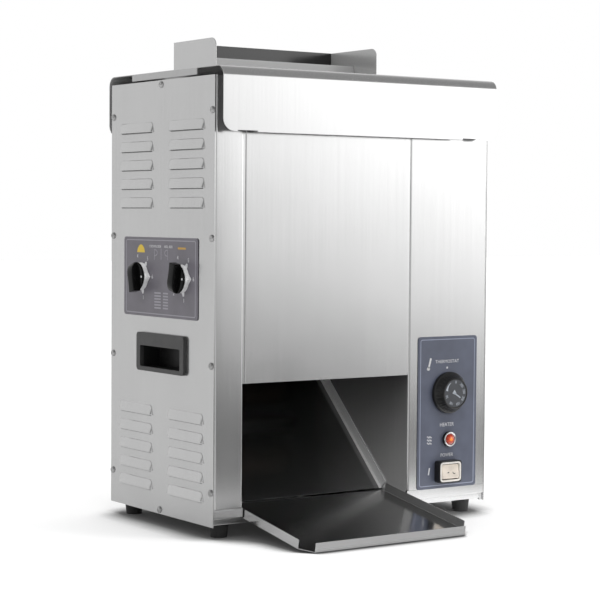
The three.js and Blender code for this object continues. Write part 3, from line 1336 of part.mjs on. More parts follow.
function makeTerminalBlock() {
  const x = WALL_RIGHT + SHEET + SEAT;
  const front = x + BLOCK_DEPTH;
  const foot = PANEL_BOTTOM + BLOCK_Z;
  const block = box(x, front, BLOCK_Y, BLOCK_Y + BLOCK_LENGTH, foot, foot + BLOCK_HEIGHT);
  const poles = [];
  for (let i = 0; i < BLOCK_POLES; i += 1) {
    const y = BLOCK_Y + BLOCK_LENGTH * ((i + 1 / 2) / BLOCK_POLES);
    const z = foot + BLOCK_HEIGHT / 2;
    poles.push(rod('x', y, z, BLOCK_POLE_RADIUS, front - BLOCK_POLE_DEPTH, front + OVERRUN, SMALL_SIDES));
  }
  return cut(block, ...poles);
}

// Cable gland through the rear of the right column, about Z which points out of the rear.
function makeGland() {
  return turned([
    [GLAND_BORE_RADIUS, -SHEET - GLAND_INSIDE], [GLAND_RADIUS, -SHEET - GLAND_INSIDE],
    [GLAND_RADIUS, SEAT], [GLAND_FLANGE_RADIUS, SEAT],
    [GLAND_FLANGE_RADIUS, SEAT + GLAND_FLANGE_THICKNESS], [GLAND_RADIUS, SEAT + GLAND_FLANGE_THICKNESS],
    [GLAND_RADIUS - SHEET, GLAND_REACH], [GLAND_BORE_RADIUS, GLAND_REACH],
    [GLAND_BORE_RADIUS, -SHEET - GLAND_INSIDE],
  ], ROUND_SIDES);
}

// Casing
add(toaster, 'base_pan', makeBasePan(), 'steel');
for (const [name, x, y] of [
  ['foot_front_left', FOOT_INSET, FOOT_INSET],
  ['foot_front_right', BODY_WIDTH - FOOT_INSET, FOOT_INSET],
  ['foot_rear_left', FOOT_INSET, BODY_DEPTH - FOOT_INSET],
  ['foot_rear_right', BODY_WIDTH - FOOT_INSET, BODY_DEPTH - FOOT_INSET],
]) {
  add(toaster, name, makeFoot(), 'rubber').position.set(x, y, 0);
}
add(toaster, 'left_frame_channel', makeChannel(0, WALL_LEFT), 'steel');
add(toaster, 'right_frame_channel', makeRightChannel(), 'steel');
add(toaster, 'left_side_cover', makeSideCover(knobShaftHoles()), 'steel');
add(toaster, 'front_conveyor_cover', makeConveyorCover(PANEL_BOTTOM + DISCHARGE_HEIGHT), 'steel');
add(toaster, 'top_cover', makeTopCover(), 'steel');
add(toaster, 'bun_feeder', makeFeeder(), 'steel');
add(toaster, 'feeder_divider', makeDivider(), 'steel');
add(toaster, 'chute_slide', makeSlide(), 'mirror');
add(toaster, 'left_handle', makeHandle(), 'blackPlastic');

// The right cover and handle are the left ones turned half round the upright axis.
const rightSide = new Group();
rightSide.position.set(BODY_WIDTH, BODY_DEPTH, 0);
rightSide.rotation.z = Math.PI;
toaster.add(rightSide);
add(rightSide, 'right_side_cover', makeSideCover([]), 'steel');
add(rightSide, 'right_handle', makeHandle(), 'blackPlastic');

// The rear conveyor cover is a taller front one, turned to face the back.
const rearSide = new Group();
rearSide.position.set(WALL_LEFT + WALL_RIGHT, BODY_DEPTH, 0);
rearSide.rotation.z = Math.PI;
toaster.add(rearSide);
add(rearSide, 'rear_conveyor_cover', makeConveyorCover(SEAM_Z), 'steel');

// Landing tray, tipped forward on the plinth
const tray = new Group();
tray.position.set(0, PLINTH_SETBACK, GATE_Z + SEAT);
tray.rotation.x = TRAY_SLOPE;
toaster.add(tray);
add(tray, 'landing_tray', makeTray(), 'mirror');

// Platen
add(toaster, 'platen_front_plate', makePlatenPlate(-1), 'aluminium');
add(toaster, 'platen_rear_plate', makePlatenPlate(1), 'aluminium');
elementLegs().filter((leg, index) => index % 2 === 0).forEach((z, index) => {
  add(toaster, `heating_element_${index + 1}`, makeElement(z), 'darkSteel');
});
add(toaster, 'release_sheet', makeReleaseSheet(), 'releaseSheet');

// Conveyors: each hangs on its drive axis, with the cam pad on the platen's side.
for (const [name, y, padSide] of [['front', FRONT_AXIS_Y, 1], ['rear', REAR_AXIS_Y, -1]]) {
  const conveyor = new Group();
  conveyor.position.set(0, y, DRIVE_Z);
  toaster.add(conveyor);
  const driveFrom = WALL_LEFT - SHEET - COLLAR_LENGTH;
  add(conveyor, `${name}_belt`, makeBelt(), 'belt');
  const driveTo = SPROCKET_X + 2 * SPROCKET_WIDTH;
  add(conveyor, `${name}_drive_roller`, makeRoller(driveFrom, driveTo), 'darkSteel');
  add(conveyor, `${name}_idler_roller`, makeRoller(FRAME_LEFT, FRAME_RIGHT), 'darkSteel')
    .position.set(0, 0, BELT_LENGTH);
  add(conveyor, `${name}_conveyor_frame`, makeConveyorFrame(padSide), 'steel');
}

// Compression shafts and knobs. The left side's outward direction is the knob's own Z.
for (const [name, y, contact, lean] of [
  ['heel', FRONT_AXIS_Y, 0, Math.PI - KNOB_LEAN], ['crown', REAR_AXIS_Y, Math.PI, KNOB_LEAN],
]) {
  add(toaster, `${name}_cam_shaft`, makeCamShaft(contact), 'darkSteel').position.set(0, y, CAM_Z);
  const knob = new Group();
  knob.position.set(PLATE_FACE_Y - SEAT, y, CAM_Z);
  knob.rotation.set(Math.PI / 2, -Math.PI / 2, 0, 'XYZ');
  toaster.add(knob);
  add(knob, `${name}_knob_pointer`, makePointer(), 'whitePlastic');
  const grip = add(knob, `${name}_knob`, makeKnob(), 'blackPlastic');
  grip.position.z = POINTER_HEIGHT + SEAT;
  grip.rotation.z = lean;
}

// Drive train
const rearDrive = new Group();
rearDrive.position.set(0, REAR_AXIS_Y, DRIVE_Z);
toaster.add(rearDrive);
add(rearDrive, 'rear_drive_gear', makeGear(Math.PI / GEAR_TEETH), 'darkSteel');
add(rearDrive, 'rear_drive_sprocket', makeDrivenSprocket(), 'darkSteel');
add(rearDrive, 'drive_chain', makeChain(), 'darkSteel');
add(rearDrive, 'motor_sprocket', makeMotorSprocket(), 'darkSteel').position.z = -MOTOR_DROP;
add(toaster, 'front_drive_gear', makeGear(0), 'darkSteel').position.set(0, FRONT_AXIS_Y, DRIVE_Z);
add(toaster, 'motor_bracket', makeMotorBracket(), 'steel');
add(toaster, 'gearbox', makeGearbox(), 'motor');
add(toaster, 'gear_motor', makeMotor(), 'motor');

// Controls
add(toaster, 'compression_plate', makeCompressionPlate(), 'greyPlate');
add(toaster, 'control_plate', makeControlPlate(), 'bluePlate');
function addFrontPiece(name, body, finish, axis) {
  const mesh = add(toaster, name, body, finish);
  mesh.position.copy(axis);
  mesh.rotation.x = Math.PI / 2;
  return mesh;
}
addFrontPiece('thermostat_body', makeThermostatBody(), 'terminal', THERMOSTAT_AXIS);
addFrontPiece('thermostat_knob', makeDial(), 'blackPlastic', THERMOSTAT_AXIS);
addFrontPiece('heater_lamp_bezel', makeLampBezel(), 'steel', LAMP_AXIS);
addFrontPiece('heater_lamp_lens', makeLens(), 'amber', LAMP_AXIS);
addFrontPiece('power_switch_housing', makeSwitchHousing(), 'blackPlastic', SWITCH_AXIS);
const rocker = addFrontPiece('power_rocker', makeRocker(), 'creamPlastic', SWITCH_AXIS);
rocker.position.y = PLATE_FACE_Y - SEAT - SWITCH_PROUD + ROCKER_DEPTH / 2;
rocker.rotation.x -= ROCKER_TILT;

// Electrical pieces
add(toaster, 'terminal_block', makeTerminalBlock(), 'terminal');
const gland = add(toaster, 'cable_gland', makeGland(), 'blackPlastic');
gland.position.set(GLAND_AXIS_X, BODY_DEPTH, GLAND_AXIS_Z);
gland.rotation.x = -Math.PI / 2;

// The origin is under the middle of the whole machine, tray and knobs included.
toaster.updateMatrixWorld(true);
const { min, max } = new Box3().setFromObject(toaster, true);
toaster.position.set(-(min.x + max.x) / 2, -(min.y + max.y) / 2, -min.z);

export default toaster;
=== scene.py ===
import json
import math

import bmesh
import bpy
from mathutils import Matrix, Vector

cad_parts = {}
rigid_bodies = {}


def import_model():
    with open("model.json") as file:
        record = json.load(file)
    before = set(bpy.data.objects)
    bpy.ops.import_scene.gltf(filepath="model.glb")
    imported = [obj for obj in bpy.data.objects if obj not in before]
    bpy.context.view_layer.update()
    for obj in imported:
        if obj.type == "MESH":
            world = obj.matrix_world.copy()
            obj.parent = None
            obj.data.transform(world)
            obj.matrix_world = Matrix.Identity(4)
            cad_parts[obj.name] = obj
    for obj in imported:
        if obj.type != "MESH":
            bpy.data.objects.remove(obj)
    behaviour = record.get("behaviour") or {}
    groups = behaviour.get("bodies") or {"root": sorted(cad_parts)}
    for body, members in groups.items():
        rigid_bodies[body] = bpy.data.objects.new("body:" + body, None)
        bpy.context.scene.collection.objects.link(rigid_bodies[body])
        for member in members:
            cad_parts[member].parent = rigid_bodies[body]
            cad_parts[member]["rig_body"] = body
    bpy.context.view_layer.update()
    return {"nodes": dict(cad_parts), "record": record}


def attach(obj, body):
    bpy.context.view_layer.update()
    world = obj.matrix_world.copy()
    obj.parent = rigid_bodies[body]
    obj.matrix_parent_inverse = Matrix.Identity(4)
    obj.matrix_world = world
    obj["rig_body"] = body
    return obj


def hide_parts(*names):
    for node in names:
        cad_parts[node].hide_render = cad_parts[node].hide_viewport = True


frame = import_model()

nodes = frame["nodes"]

# Lengths are millimetres, unless a line says metres.
# Places on the machine count to the right from its left cover, back from its front and up from the floor.
MM = 0.001
ORIGIN = Vector((211.3, 66.99, 0))
# Beyond every edge of the machine, and how far a piece's foot stands off its face
FAR = 1000
OFF_FACE = 0.02

# Casing
BODY_WIDTH = 437
COVER_MIDDLE = 131
OPENING_TOP = 193.5
COLUMN_TOP = 575.5
COVER_FOLD = 27.5

# Where the sheets' looks change
CAVITY_SIDES = (43.3, 304.2)
CAVITY_DEPTHS = (1.49, 256.99)
SLIDE_FLANGE = 298.1
TRAY_RIGHT_LIP = 300.8
TRAY_FRONT_LIP = -138.51
FEEDER_END = 298.3
FEEDER_REAR = 166.99
HANDLE_FACE = 1.5
HOOD_MIDDLE = 126.75
HOOD_FLAT = 131.75
HOOD_HEIGHT = 574.3
HOOD_BEND = 12.5
# Painted light and shade in the cavity: the sheets' colour is lighter below the lower height and darker above
# the upper one
LIGHT_TO_SHADE_HEIGHTS = (50 * MM, 200 * MM)

# How finely sheet is brushed: waves to the metre along X, Y and Z, in its fine lines and in its broad bands
UPRIGHT_GRAIN = ((1500, 1500, 6), (260, 260, 2))
COVER_GRAIN = ((900, 1500, 6), (260, 260, 2))
LEVEL_GRAIN = ((6, 900, 900), (2, 260, 260))
SLOPING_GRAIN = ((900, 6, 6), (260, 2, 2))

# Printed marks: the ink's thickness, a capital's share of the type's size, and where the plates' faces lie
INK = 0.08
CAPITAL_SHARE = 0.7
PLATE_OUT = 1.12

# Compression knobs
KNOB_Z = 322.8
HEEL_KNOB_Y = 75.5
CROWN_KNOB_Y = 178.5
SKIRT_FOOT, SKIRT_TOP = 1.4, 7.4
SKIRT_RADIUS = 18.2
SKIRT_SIDES = 120
NUB_REACH = 5.3
NUB_HALF_ANGLE = math.radians(24)
GRIP_FOOT, GRIP_FLANGE, GRIP_TOP = 7.7, 10.7, 18.7
GRIP_RADIUS = 18.8
GRIP_SIDES = 96
BAR_HALF, BAR_TAIL, BAR_CREST, BAR_NOSE = 7.0, 20.0, 4.0, 17.45
BAR_FOOT, BAR_EDGE, BAR_WAIST = 9.2, 1.3, 0.7
BAR_TAIL_ROUND = 1.0

# Thermostat dial
DIAL_X, DIAL_Z = 371, 167
DIAL_FOOT, DIAL_FACE = 1.4, 17.4
DIAL_SUNK = 0.7
DIAL_FLUTES = 36
DIAL_SIDES = 216
DIAL_NUMBERS = {"50": 254, "100": 207, "150": 161, "200": 120, "250": 83, "300": 46}
NUMBER_HEIGHT, NUMBER_RADIUS = 3.7, 14.7
ZERO_HEIGHT, ZERO_RADIUS, ZERO_ANGLE = 3.8, 14.9, 3
WEDGE_START, WEDGE_TURN = 285, 46
WEDGE_OUTER, WEDGE_INNER, WEDGE_DEPTH = 16.6, 16.1, 3.0

# Heater lamp
LAMP_X, LAMP_Z = 372, 104
LAMP_SIDES = 72
LENS_FACETS = 12
LENS_SIDES = 96
LENS_HOT = (0.8, 3.0)
LENS_RIM = (2.2, 6.2)
LENS_UNEVEN = 1.2

# Power switch
SWITCH_X, SWITCH_Z = 368, 61
SWITCH_FRAME = (-17.9, -13.2, 17.9, 13.2)
SWITCH_FRAME_ROUND = 4.8
ROCKER = (-15.0, -9.7, 14.4, 9.6)
ROCKER_ROUND = 2.6
ROCKER_PIVOT = 8.4
ROCKER_ANGLE = math.radians(-8)
ROCKER_RINGS = 24
ROCKER_SKIRT = -1.9
ROCKER_RISE, ROCKER_SLOPE, ROCKER_VALLEY = 3.24, 0.13, 2.0
ROCKER_BORDER, ROCKER_DROP = 0.88, 1.1

# Louvres of the side covers
LOUVRE_ACROSS = 63.5
LOUVRE_STARTS = (45, 412.98)
LOUVRE_ROWS = 5
LOUVRE_PITCH = 24.4
# Along from the middle, and the share of the full height there
LOUVRE_ENDS = ((42.9, 0.0), (42.4, 0.34), (41.5, 0.6), (40.2, 0.85), (38.4, 1.0))
# Up from the slit, and outward
LOUVRE_RISE = (
    (12.9, 0.02), (12.5, 0.55), (11.8, 0.95), (9.0, 1.65), (7.0, 2.2), (5.0, 2.75), (3.0, 3.25), (1.2, 3.6),
    (0.2, 3.72), (-0.1, 3.66), (-0.2, 3.4), (-0.2, 2.9),
)
# Dark slabs below the louvres' lips: painted shade where each slit opens under its hood
SLIT_SHADE_START, SLIT_SHADE_END = -39.5, 40.5
SLIT_SHADE_FOOT, SLIT_SHADE_TOP = -1.5, -0.3
SLIT_SHADE_ROUND = 0.5
SLIT_SHADE_DEPTH = 0.05

# Seams: how far back each strip reaches behind its face
STRIP_THICKNESS = 1.2

# Cover screws
SCREW_RADIUS = 4.4
SCREW_RIM = 0.9
SCREW_DOME = 2.1
SCREW_RINGS = 11
SCREW_SIDES = 48
CROSS_HALF, CROSS_REACH, CROSS_FLOOR = 0.5, 2.6, 2.3
SCREW_ENDS = (21.6, 570.4)
SCREW_ACROSS = 125.4
SCREW_ROWS = (59, 217, 375, 533)

# Marks on the compression plate: to the front from its middle, and up from the knobs' height
PLATE_BORDER = (-88.5, -48.3, 89.0, 48.3)
PLATE_BORDER_ROUND, PLATE_BORDER_WIDTH = 3.0, 1.3
BUN_SIDES = (-14, 19.8)
BUN_LOW, BUN_HIGH, BUN_WIDE, BUN_TALL = 22.4, 31.6, 7.6, 4.0
HOT_PLATE = ((3.2, 22.6), (3.2, 37.2))
PRINT_TOP, PRINT_PITCH, PRINT_HALF, PRINT_ROWS = -20.4, 3.85, 1.0, 6
PRINT_COLUMNS = ((-13.6, 2.6), (8.5, 20.9))
SETTINGS = (-80, -136, 168, 112, 56, 0)
SETTING_HEIGHT, SETTING_RADIUS = 5.0, 28.2
TICKED_SETTINGS = (1, 5)
# Radius, and turn in radians
TICK = ((16.5, -0.22), (20.5, -0.13), (23.0, -0.055), (23.0, 0.055), (20.5, 0.13), (16.5, 0.22))
CROWN_MARK_PLACE = (-49, 31.4)
CROWN_MARK_HALF, CROWN_MARK_HEIGHT = 10, 10.4
HEEL_MARK, HEEL_MARK_ROUND = (45, 36.9, 65, 39.5), 1.2
# Each word's height, its place across and up, and how wide it is set
KNOB_WORDS = {"CROWN SIDE": (3.1, -12.0, 39.6, 1.1), "HEEL SIDE": (3.1, 21.6, 39.6, 1.05)}

# Marks on the control plate, with words as above
CONTROL_BORDER = (323.0, 41.6, 417.0, 239.6)
CONTROL_BORDER_ROUND, CONTROL_BORDER_WIDTH = 3.4, 1.2
CONTROL_WORDS = {
    "THERMOSTAT": (4.4, 369.0, 209.0, 1.02),
    "HEATER": (5.0, 369.4, 123.6, 0.95),
    "POWER": (4.6, 369.8, 82.4, 0.95),
}
HEAT_WAVE_START, HEAT_WAVE_HEIGHTS = 335.8, (99.6, 103.8, 108.0)

# Stage: the window stands this far to the right of the front
WINDOW = math.radians(36)
TOWARDS = (math.sin(WINDOW), -math.cos(WINDOW), 0)
ASIDE = (math.cos(WINDOW), math.sin(WINDOW), 0)
# The floor's half side and the key light, in metres and watts
FLOOR_HALF = 12.0
KEY_PLACE, KEY_TARGET = Vector((1.5, -1.9, 1.5)), Vector((0, 0, 0.3))
KEY_SIZE = 0.6
KEY_POWER = 13

# Camera
CAMERA_PLACE = (-1193.2, -1923.0, 403.7)
CAMERA_YAW, CAMERA_PITCH, CAMERA_ROLL = (math.radians(a) for a in (34.50, 2.63, 0.42))
CAMERA_LENS = 110.26


def at(x, y, z):
    """A place in the frame, in metres, from a place on the machine."""
    return (Vector((x, y, z)) - ORIGIN) * MM


def placed(right, up, out, origin):
    """The matrix with these axes and that origin."""
    return Matrix([list(row) for row in zip(right, up, out, origin)] + [[0, 0, 0, 1]])


def facing(origin, right, up):
    """The frame of a face: its own millimetres right, up and outward, seen from outside."""
    right, up = Vector(right), Vector(up)
    return placed(right * MM, up * MM, right.cross(up) * MM, origin)


def front_face(x, z):
    return facing(at(x, 0, z), (1, 0, 0), (0, 0, 1))


def left_face(y, z):
    return facing(at(0, y, z), (0, -1, 0), (0, 0, 1))


def right_face(y, z):
    return facing(at(BODY_WIDTH, y, z), (0, 1, 0), (0, 0, 1))


COVER_FACES = {"left": left_face(COVER_MIDDLE, 0), "right": right_face(COVER_MIDDLE, 0)}


# Materials


def grey(value):
    return (value, value, value, 1)


class Nodes:
    """A shader node tree, with short ways to add to it."""

    def __init__(self, tree):
        self.tree = tree

    def node(self, kind, inputs=None, **settings):
        made = self.tree.nodes.new(kind)
        for key, value in settings.items():
            setattr(made, key, value)
        for key, value in (inputs or {}).items():
            if isinstance(value, bpy.types.NodeSocket):
                self.tree.links.new(value, made.inputs[key])
            else:
                made.inputs[key].default_value = value
        return made

    def math(self, operation, a, b=0.0):
        return self.node("ShaderNodeMath", {0: a, 1: b}, operation=operation).outputs[0]

    def dot(self, vector, axis):
        inputs = {0: vector, 1: axis}
        return self.node("ShaderNodeVectorMath", inputs, operation="DOT_PRODUCT").outputs["Value"]

    def span(self, value, low, high, start=0.3, end=0.7):
        """The value's way from start to end, mapped to low to high and held there beyond them."""
        inputs = {"Value": value, "From Min": start, "From Max": end, "To Min": low, "To Max": high}
        return self.node("ShaderNodeMapRange", inputs).outputs[0]

    def mix(self, factor, a, b):
        """A number between a and b."""
        inputs = {"Factor": factor, "A": a, "B": b}
        return self.node("ShaderNodeMix", inputs, data_type="FLOAT").outputs[0]

    def ramp(self, value, stops):
        made = self.node("ShaderNodeValToRGB", {0: value})
        elements = made.color_ramp.elements
        while len(elements) < len(stops):
            elements.new(1.0)
        for element, (position, level) in zip(elements, stops):
            element.position = position
            element.color = grey(level)
        return made.outputs[0]


class Look(Nodes):
    """A node material, built up from the principled shader. Its textures use the frame's own metres."""

    def __init__(self, name, **values):
        self.name = name
        self.material = bpy.data.materials.new(name)
        self.material.use_nodes = True
        super().__init__(self.material.node_tree)
        self.shader = self.tree.nodes["Principled BSDF"]
        self.place = self.node("ShaderNodeTexCoord").outputs["Object"]
        for key, value in values.items():
            self.set(key.replace("_", " ").title().replace("Ior", "IOR"), value)

    def set(self, key, value):
        if isinstance(value, bpy.types.NodeSocket):
            self.tree.links.new(value, self.shader.inputs[key])
        else:
            self.shader.inputs[key].default_value = value
        return self

    def scaled(self, x, y, z):
        return self.node("ShaderNodeMapping", {"Vector": self.place, "Scale": (x, y, z)}).outputs[0]

    def noise(self, x, y=None, z=None, detail=3.0, roughness=0.5):
        """Noise with about that many waves to the metre along each axis."""
        vector = self.scaled(x, x if y is None else y, x if z is None else z)
        inputs = {"Vector": vector, "Scale": 1.0, "Detail": detail, "Roughness": roughness}
        return self.node("ShaderNodeTexNoise", inputs).outputs["Fac"]

    def blend(self, factor, a, b):
        """A colour between a and b."""
        return self.node("ShaderNodeMix", {0: factor, 6: a, 7: b}, data_type="RGBA").outputs[2]

    def product(self, a, b):
        return self.node("ShaderNodeVectorMath", {0: a, 1: b}, operation="MULTIPLY").outputs[0]

    def along(self, axis):
        """How far along the frame's x, y or z, in metres."""
        return self.dot(self.place, [float(axis == other) for other in "xyz"])

    def within(self, axis, low, high):
        """1 between two places on the machine along an axis, and 0 elsewhere."""
        part = self.along(axis)
        low, high = ((place - ORIGIN["xyz".index(axis)]) * MM for place in (low, high))
        return self.math("MULTIPLY", self.math("GREATER_THAN", part, low), self.math("LESS_THAN", part, high))

    def shaded(self, factor):
        """Multiplies the base colour by a number."""
        colour = self.shader.inputs["Base Color"].links[0].from_socket
        level = self.node("ShaderNodeCombineXYZ", {0: factor, 1: factor, 2: factor}).outputs[0]
        return self.set("Base Color", self.product(colour, level))

    def bump(self, height, strength, distance):
        inputs = {"Height": height, "Strength": strength, "Distance": distance}
        self.set("Normal", self.node("ShaderNodeBump", inputs).outputs[0])
        return self


def sheet_look(name, grain, tone, gloss, streak=0.012, metallic=0.93):
    """Stainless sheet with a brushed grain and faint smudges."""
    fine, coarse = grain
    look = Look(name, metallic=metallic)
    lines = look.noise(*fine, detail=4.0, roughness=0.6)
    bands = look.noise(*coarse, detail=3.0, roughness=0.6)
    smudges = look.noise(11, detail=4.0)
    lit = look.blend(look.span(lines, 0.0, 1.0), grey(tone - streak), grey(tone + streak))
    banded = look.blend(look.span(bands, 0.0, 1.0), grey(0.97), grey(1.0))
    worn = look.blend(look.span(smudges, 0.0, 1.0), grey(0.96), grey(1.0))
    look.set("Base Color", look.product(look.product(lit, banded), worn))
    rough = look.math("ADD", look.span(smudges, -0.02, 0.02), look.span(lines, gloss - 0.02, gloss + 0.02))
    look.set("Roughness", rough)
    return look.bump(lines, 0.03, 0.0003)


def moulded_look(name, color, gloss, grain=0.12, coat=0.0, specular=0.5):
    """Moulded plastic or rubber: a fine spark-eroded grain and a faint unevenness of colour."""
    look = Look(name, coat_weight=coat, coat_roughness=0.2, specular_ior_level=specular)
    fine = look.noise(1400, detail=2.0)
    broad = look.noise(60, detail=3.0)
    deep = tuple(c * 0.86 for c in color) + (1,)
    light = tuple(min(1.0, c * 1.12) for c in color) + (1,)
    look.set("Base Color", look.blend(look.span(broad, 0.0, 1.0), deep, light))
    look.set("Roughness", look.span(fine, gloss - 0.05, gloss + 0.06))
    return look.bump(fine, grain, 0.0002)


def plain_metal_look(name, tone, gloss, scratch=(300, 300, 300)):
    """Plain or turned metal, with fine tool marks and patches of oil."""
    look = Look(name, metallic=1.0)
    marks = look.noise(*scratch, detail=5.0, roughness=0.7)
    patches = look.noise(25, detail=3.0)
    look.set("Base Color", look.blend(look.span(patches, 0.0, 1.0), grey(tone * 0.8), grey(tone * 1.1)))
    look.set("Roughness", look.span(marks, gloss - 0.07, gloss + 0.09))
    return look.bump(marks, 0.12, 0.0003)


def print_look(name, color):
    """Screen-printed ink: nearly flat, with the thin and thick places of a worn print."""
    look = Look(name)
    thin = look.noise(900, detail=3.0)
    deep = tuple(c * 0.8 for c in color) + (1,)
    look.set("Base Color", look.blend(look.span(thin, 0.0, 1.0), deep, (*color, 1)))
    look.set("Roughness", look.span(thin, 0.4, 0.55))
    return look.bump(thin, 0.05, 0.0001)


def plate_look(name, color, sheen):
    """A printed plate: satin film over metal, slightly mottled, brighter where it is rubbed."""
    look = Look(name, coat_weight=0.25, coat_roughness=0.25)
    cloud = look.noise(28, detail=4.0)
    grain = look.noise(1100, detail=2.0)
    deep = tuple(c * 0.84 for c in color) + (1,)
    light = tuple(c * 1.14 for c in color) + (1,)
    look.set("Base Color", look.blend(look.span(cloud, 0.0, 1.0), deep, light))
    look.set("Roughness", look.span(cloud, sheen - 0.05, sheen + 0.05))
    return look.bump(grain, 0.06, 0.0001)


def cloth_look(name, color):
    """Coated glass cloth: a plain weave under a brown film."""
    look = Look(name)
    waves = []
    for axis in ("X", "Z"):
        inputs = {"Vector": look.place, "Scale": 420.0}
        waves.append(look.node("ShaderNodeTexWave", inputs, bands_direction=axis).outputs["Fac"])
    weave = look.math("MULTIPLY", *waves)
    stain = look.noise(35, detail=4.0)
    deep = tuple(c * 0.55 for c in color) + (1,)
    look.set("Base Color", look.blend(look.span(stain, 0.0, 1.0), deep, (*color, 1)))
    look.set("Roughness", look.span(weave, 0.35, 0.5, 0.0, 1.0))
    return look.bump(weave, 0.3, 0.0004)


def lens_look(name, middle):
    """Tinted clear plastic, lit from the bulb behind its middle."""
    look = Look(name, roughness=0.12, coat_weight=0.6)
    depth = look.noise(420, detail=2.0)
    aside = look.node("ShaderNodeVectorMath", {0: look.place, 1: middle}, operation="SUBTRACT").outputs[0]
    flat = look.node("ShaderNodeVectorMath", {0: aside, 1: (1, 0, 1)}, operation="MULTIPLY").outputs[0]
    reach = look.node("ShaderNodeVectorMath", {0: flat}, operation="LENGTH").outputs["Value"]
    uneven = look.math("ADD", reach, look.span(depth, -LENS_UNEVEN * MM, LENS_UNEVEN * MM))
    rim = look.span(uneven, 0.0, 1.0, *(radius * MM for radius in LENS_RIM))
    hot = look.span(uneven, 1.0, 0.0, *(radius * MM for radius in LENS_HOT))
    body = look.blend(rim, (0.75, 0.09, 0.015, 1), (0.2, 0.012, 0.004, 1))
    look.set("Base Color", look.blend(hot, body, (0.95, 0.32, 0.04, 1)))
    look.set("Emission Color", look.blend(hot, (0.45, 0.03, 0.004, 1), (1.0, 0.45, 0.05, 1)))
    look.set("Emission Strength", 0.3)
    return look.bump(depth, 0.15, 0.0004)


def wall_look():
    """Frame channels. In the cavity they scatter more light, and painted light and shade make them lighter
    low down and darker higher up.
    """
    look = sheet_look("wall_sheet", UPRIGHT_GRAIN, 0.62, 0.17)
    inside = look.math("MULTIPLY", look.within("y", *CAVITY_DEPTHS), look.within("x", *CAVITY_SIDES))
    look.set("Metallic", look.mix(inside, 0.93, 0.45))
    # Painted light and shade: in the cavity the colour is 1.55 times as light low down and 0.28 times higher
    # up.
    return look.shaded(look.mix(inside, 1.0, look.span(look.along("z"), 1.55, 0.28, *LIGHT_TO_SHADE_HEIGHTS)))


def slide_look():
    """Chute slide: painted shade darkens it towards the top, and its flange scatters light and carries
    painted light.
    """
    look = sheet_look("slide_sheet", SLOPING_GRAIN, 0.6, 0.16)
    flange = look.within("x", SLIDE_FLANGE, FAR)
    look.set("Metallic", look.mix(flange, 0.97, 0.0))
    # Painted shade: the slide's colour falls from 0.7 to 0.35 times going up; painted light makes the flange
    # 1.55 times as light.
    return look.shaded(look.mix(flange, look.span(look.along("z"), 0.7, 0.35, *LIGHT_TO_SHADE_HEIGHTS), 1.55))


def tray_look():
    """Landing tray: its lips scatter more light than its floor."""
    look = sheet_look("tray_sheet", LEVEL_GRAIN, 0.57, 0.155)
    lip = look.math("MAXIMUM", look.within("x", TRAY_RIGHT_LIP, FAR), look.within("y", -FAR, TRAY_FRONT_LIP))
    return look.set("Metallic", look.mix(lip, 0.98, 0.55))


def feeder_look():
    """Bun feeder: painted shade darkens the inside of its rear wall, and its right end scatters more light.
    """
    look = sheet_look("long_sheet", LEVEL_GRAIN, 0.62, 0.2, streak=0.04)
    normal = look.node("ShaderNodeTexCoord").outputs["Normal"]
    to_front = look.math("LESS_THAN", look.dot(normal, (0, 1, 0)), -0.5)
    rear = look.math("MULTIPLY", look.within("y", FEEDER_REAR, FAR), to_front)
    # Painted shade: the rear wall's face towards the front keeps 0.12 of its colour.
    look.shaded(look.mix(rear, 1.0, 0.12))
    return look.set("Metallic", look.mix(look.within("x", FEEDER_END, FAR), 0.93, 0.3))


def hood_look():
    """Top cover: on its inner side, within its bends, less metallic and a fifth darker."""
    look = sheet_look("hood_sheet", UPRIGHT_GRAIN, 0.62, 0.17)
    middle = (HOOD_MIDDLE - ORIGIN.y) * MM
    from_middle = look.math("ABSOLUTE", look.math("SUBTRACT", look.along("y"), middle))
    beyond = look.math("SUBTRACT", from_middle, HOOD_FLAT * MM)
    above = look.math("SUBTRACT", look.along("z"), HOOD_HEIGHT * MM)
    squares = [look.math("POWER", look.math("MAXIMUM", part, 0.0), 2.0) for part in (beyond, above)]
    reach = look.math("SQRT", look.math("ADD", *squares))
    inside = look.math("LESS_THAN", reach, HOOD_BEND * MM)
    look.set("Metallic", look.mix(inside, 0.93, 0.25))
    return look.shaded(look.mix(inside, 1.0, 0.8))


def handle_look():
    """Carrying handles: grained plastic, with painted shade making it deep black inside the pocket."""
    look = moulded_look("handle_plastic", (0.042, 0.042, 0.042), 0.42, 0.2)
    pocket = look.within("x", HANDLE_FACE, BODY_WIDTH - HANDLE_FACE)
    # Painted shade: inside the pocket the colour is cut to 0.2.
    return look.shaded(look.mix(pocket, 1.0, 0.2))


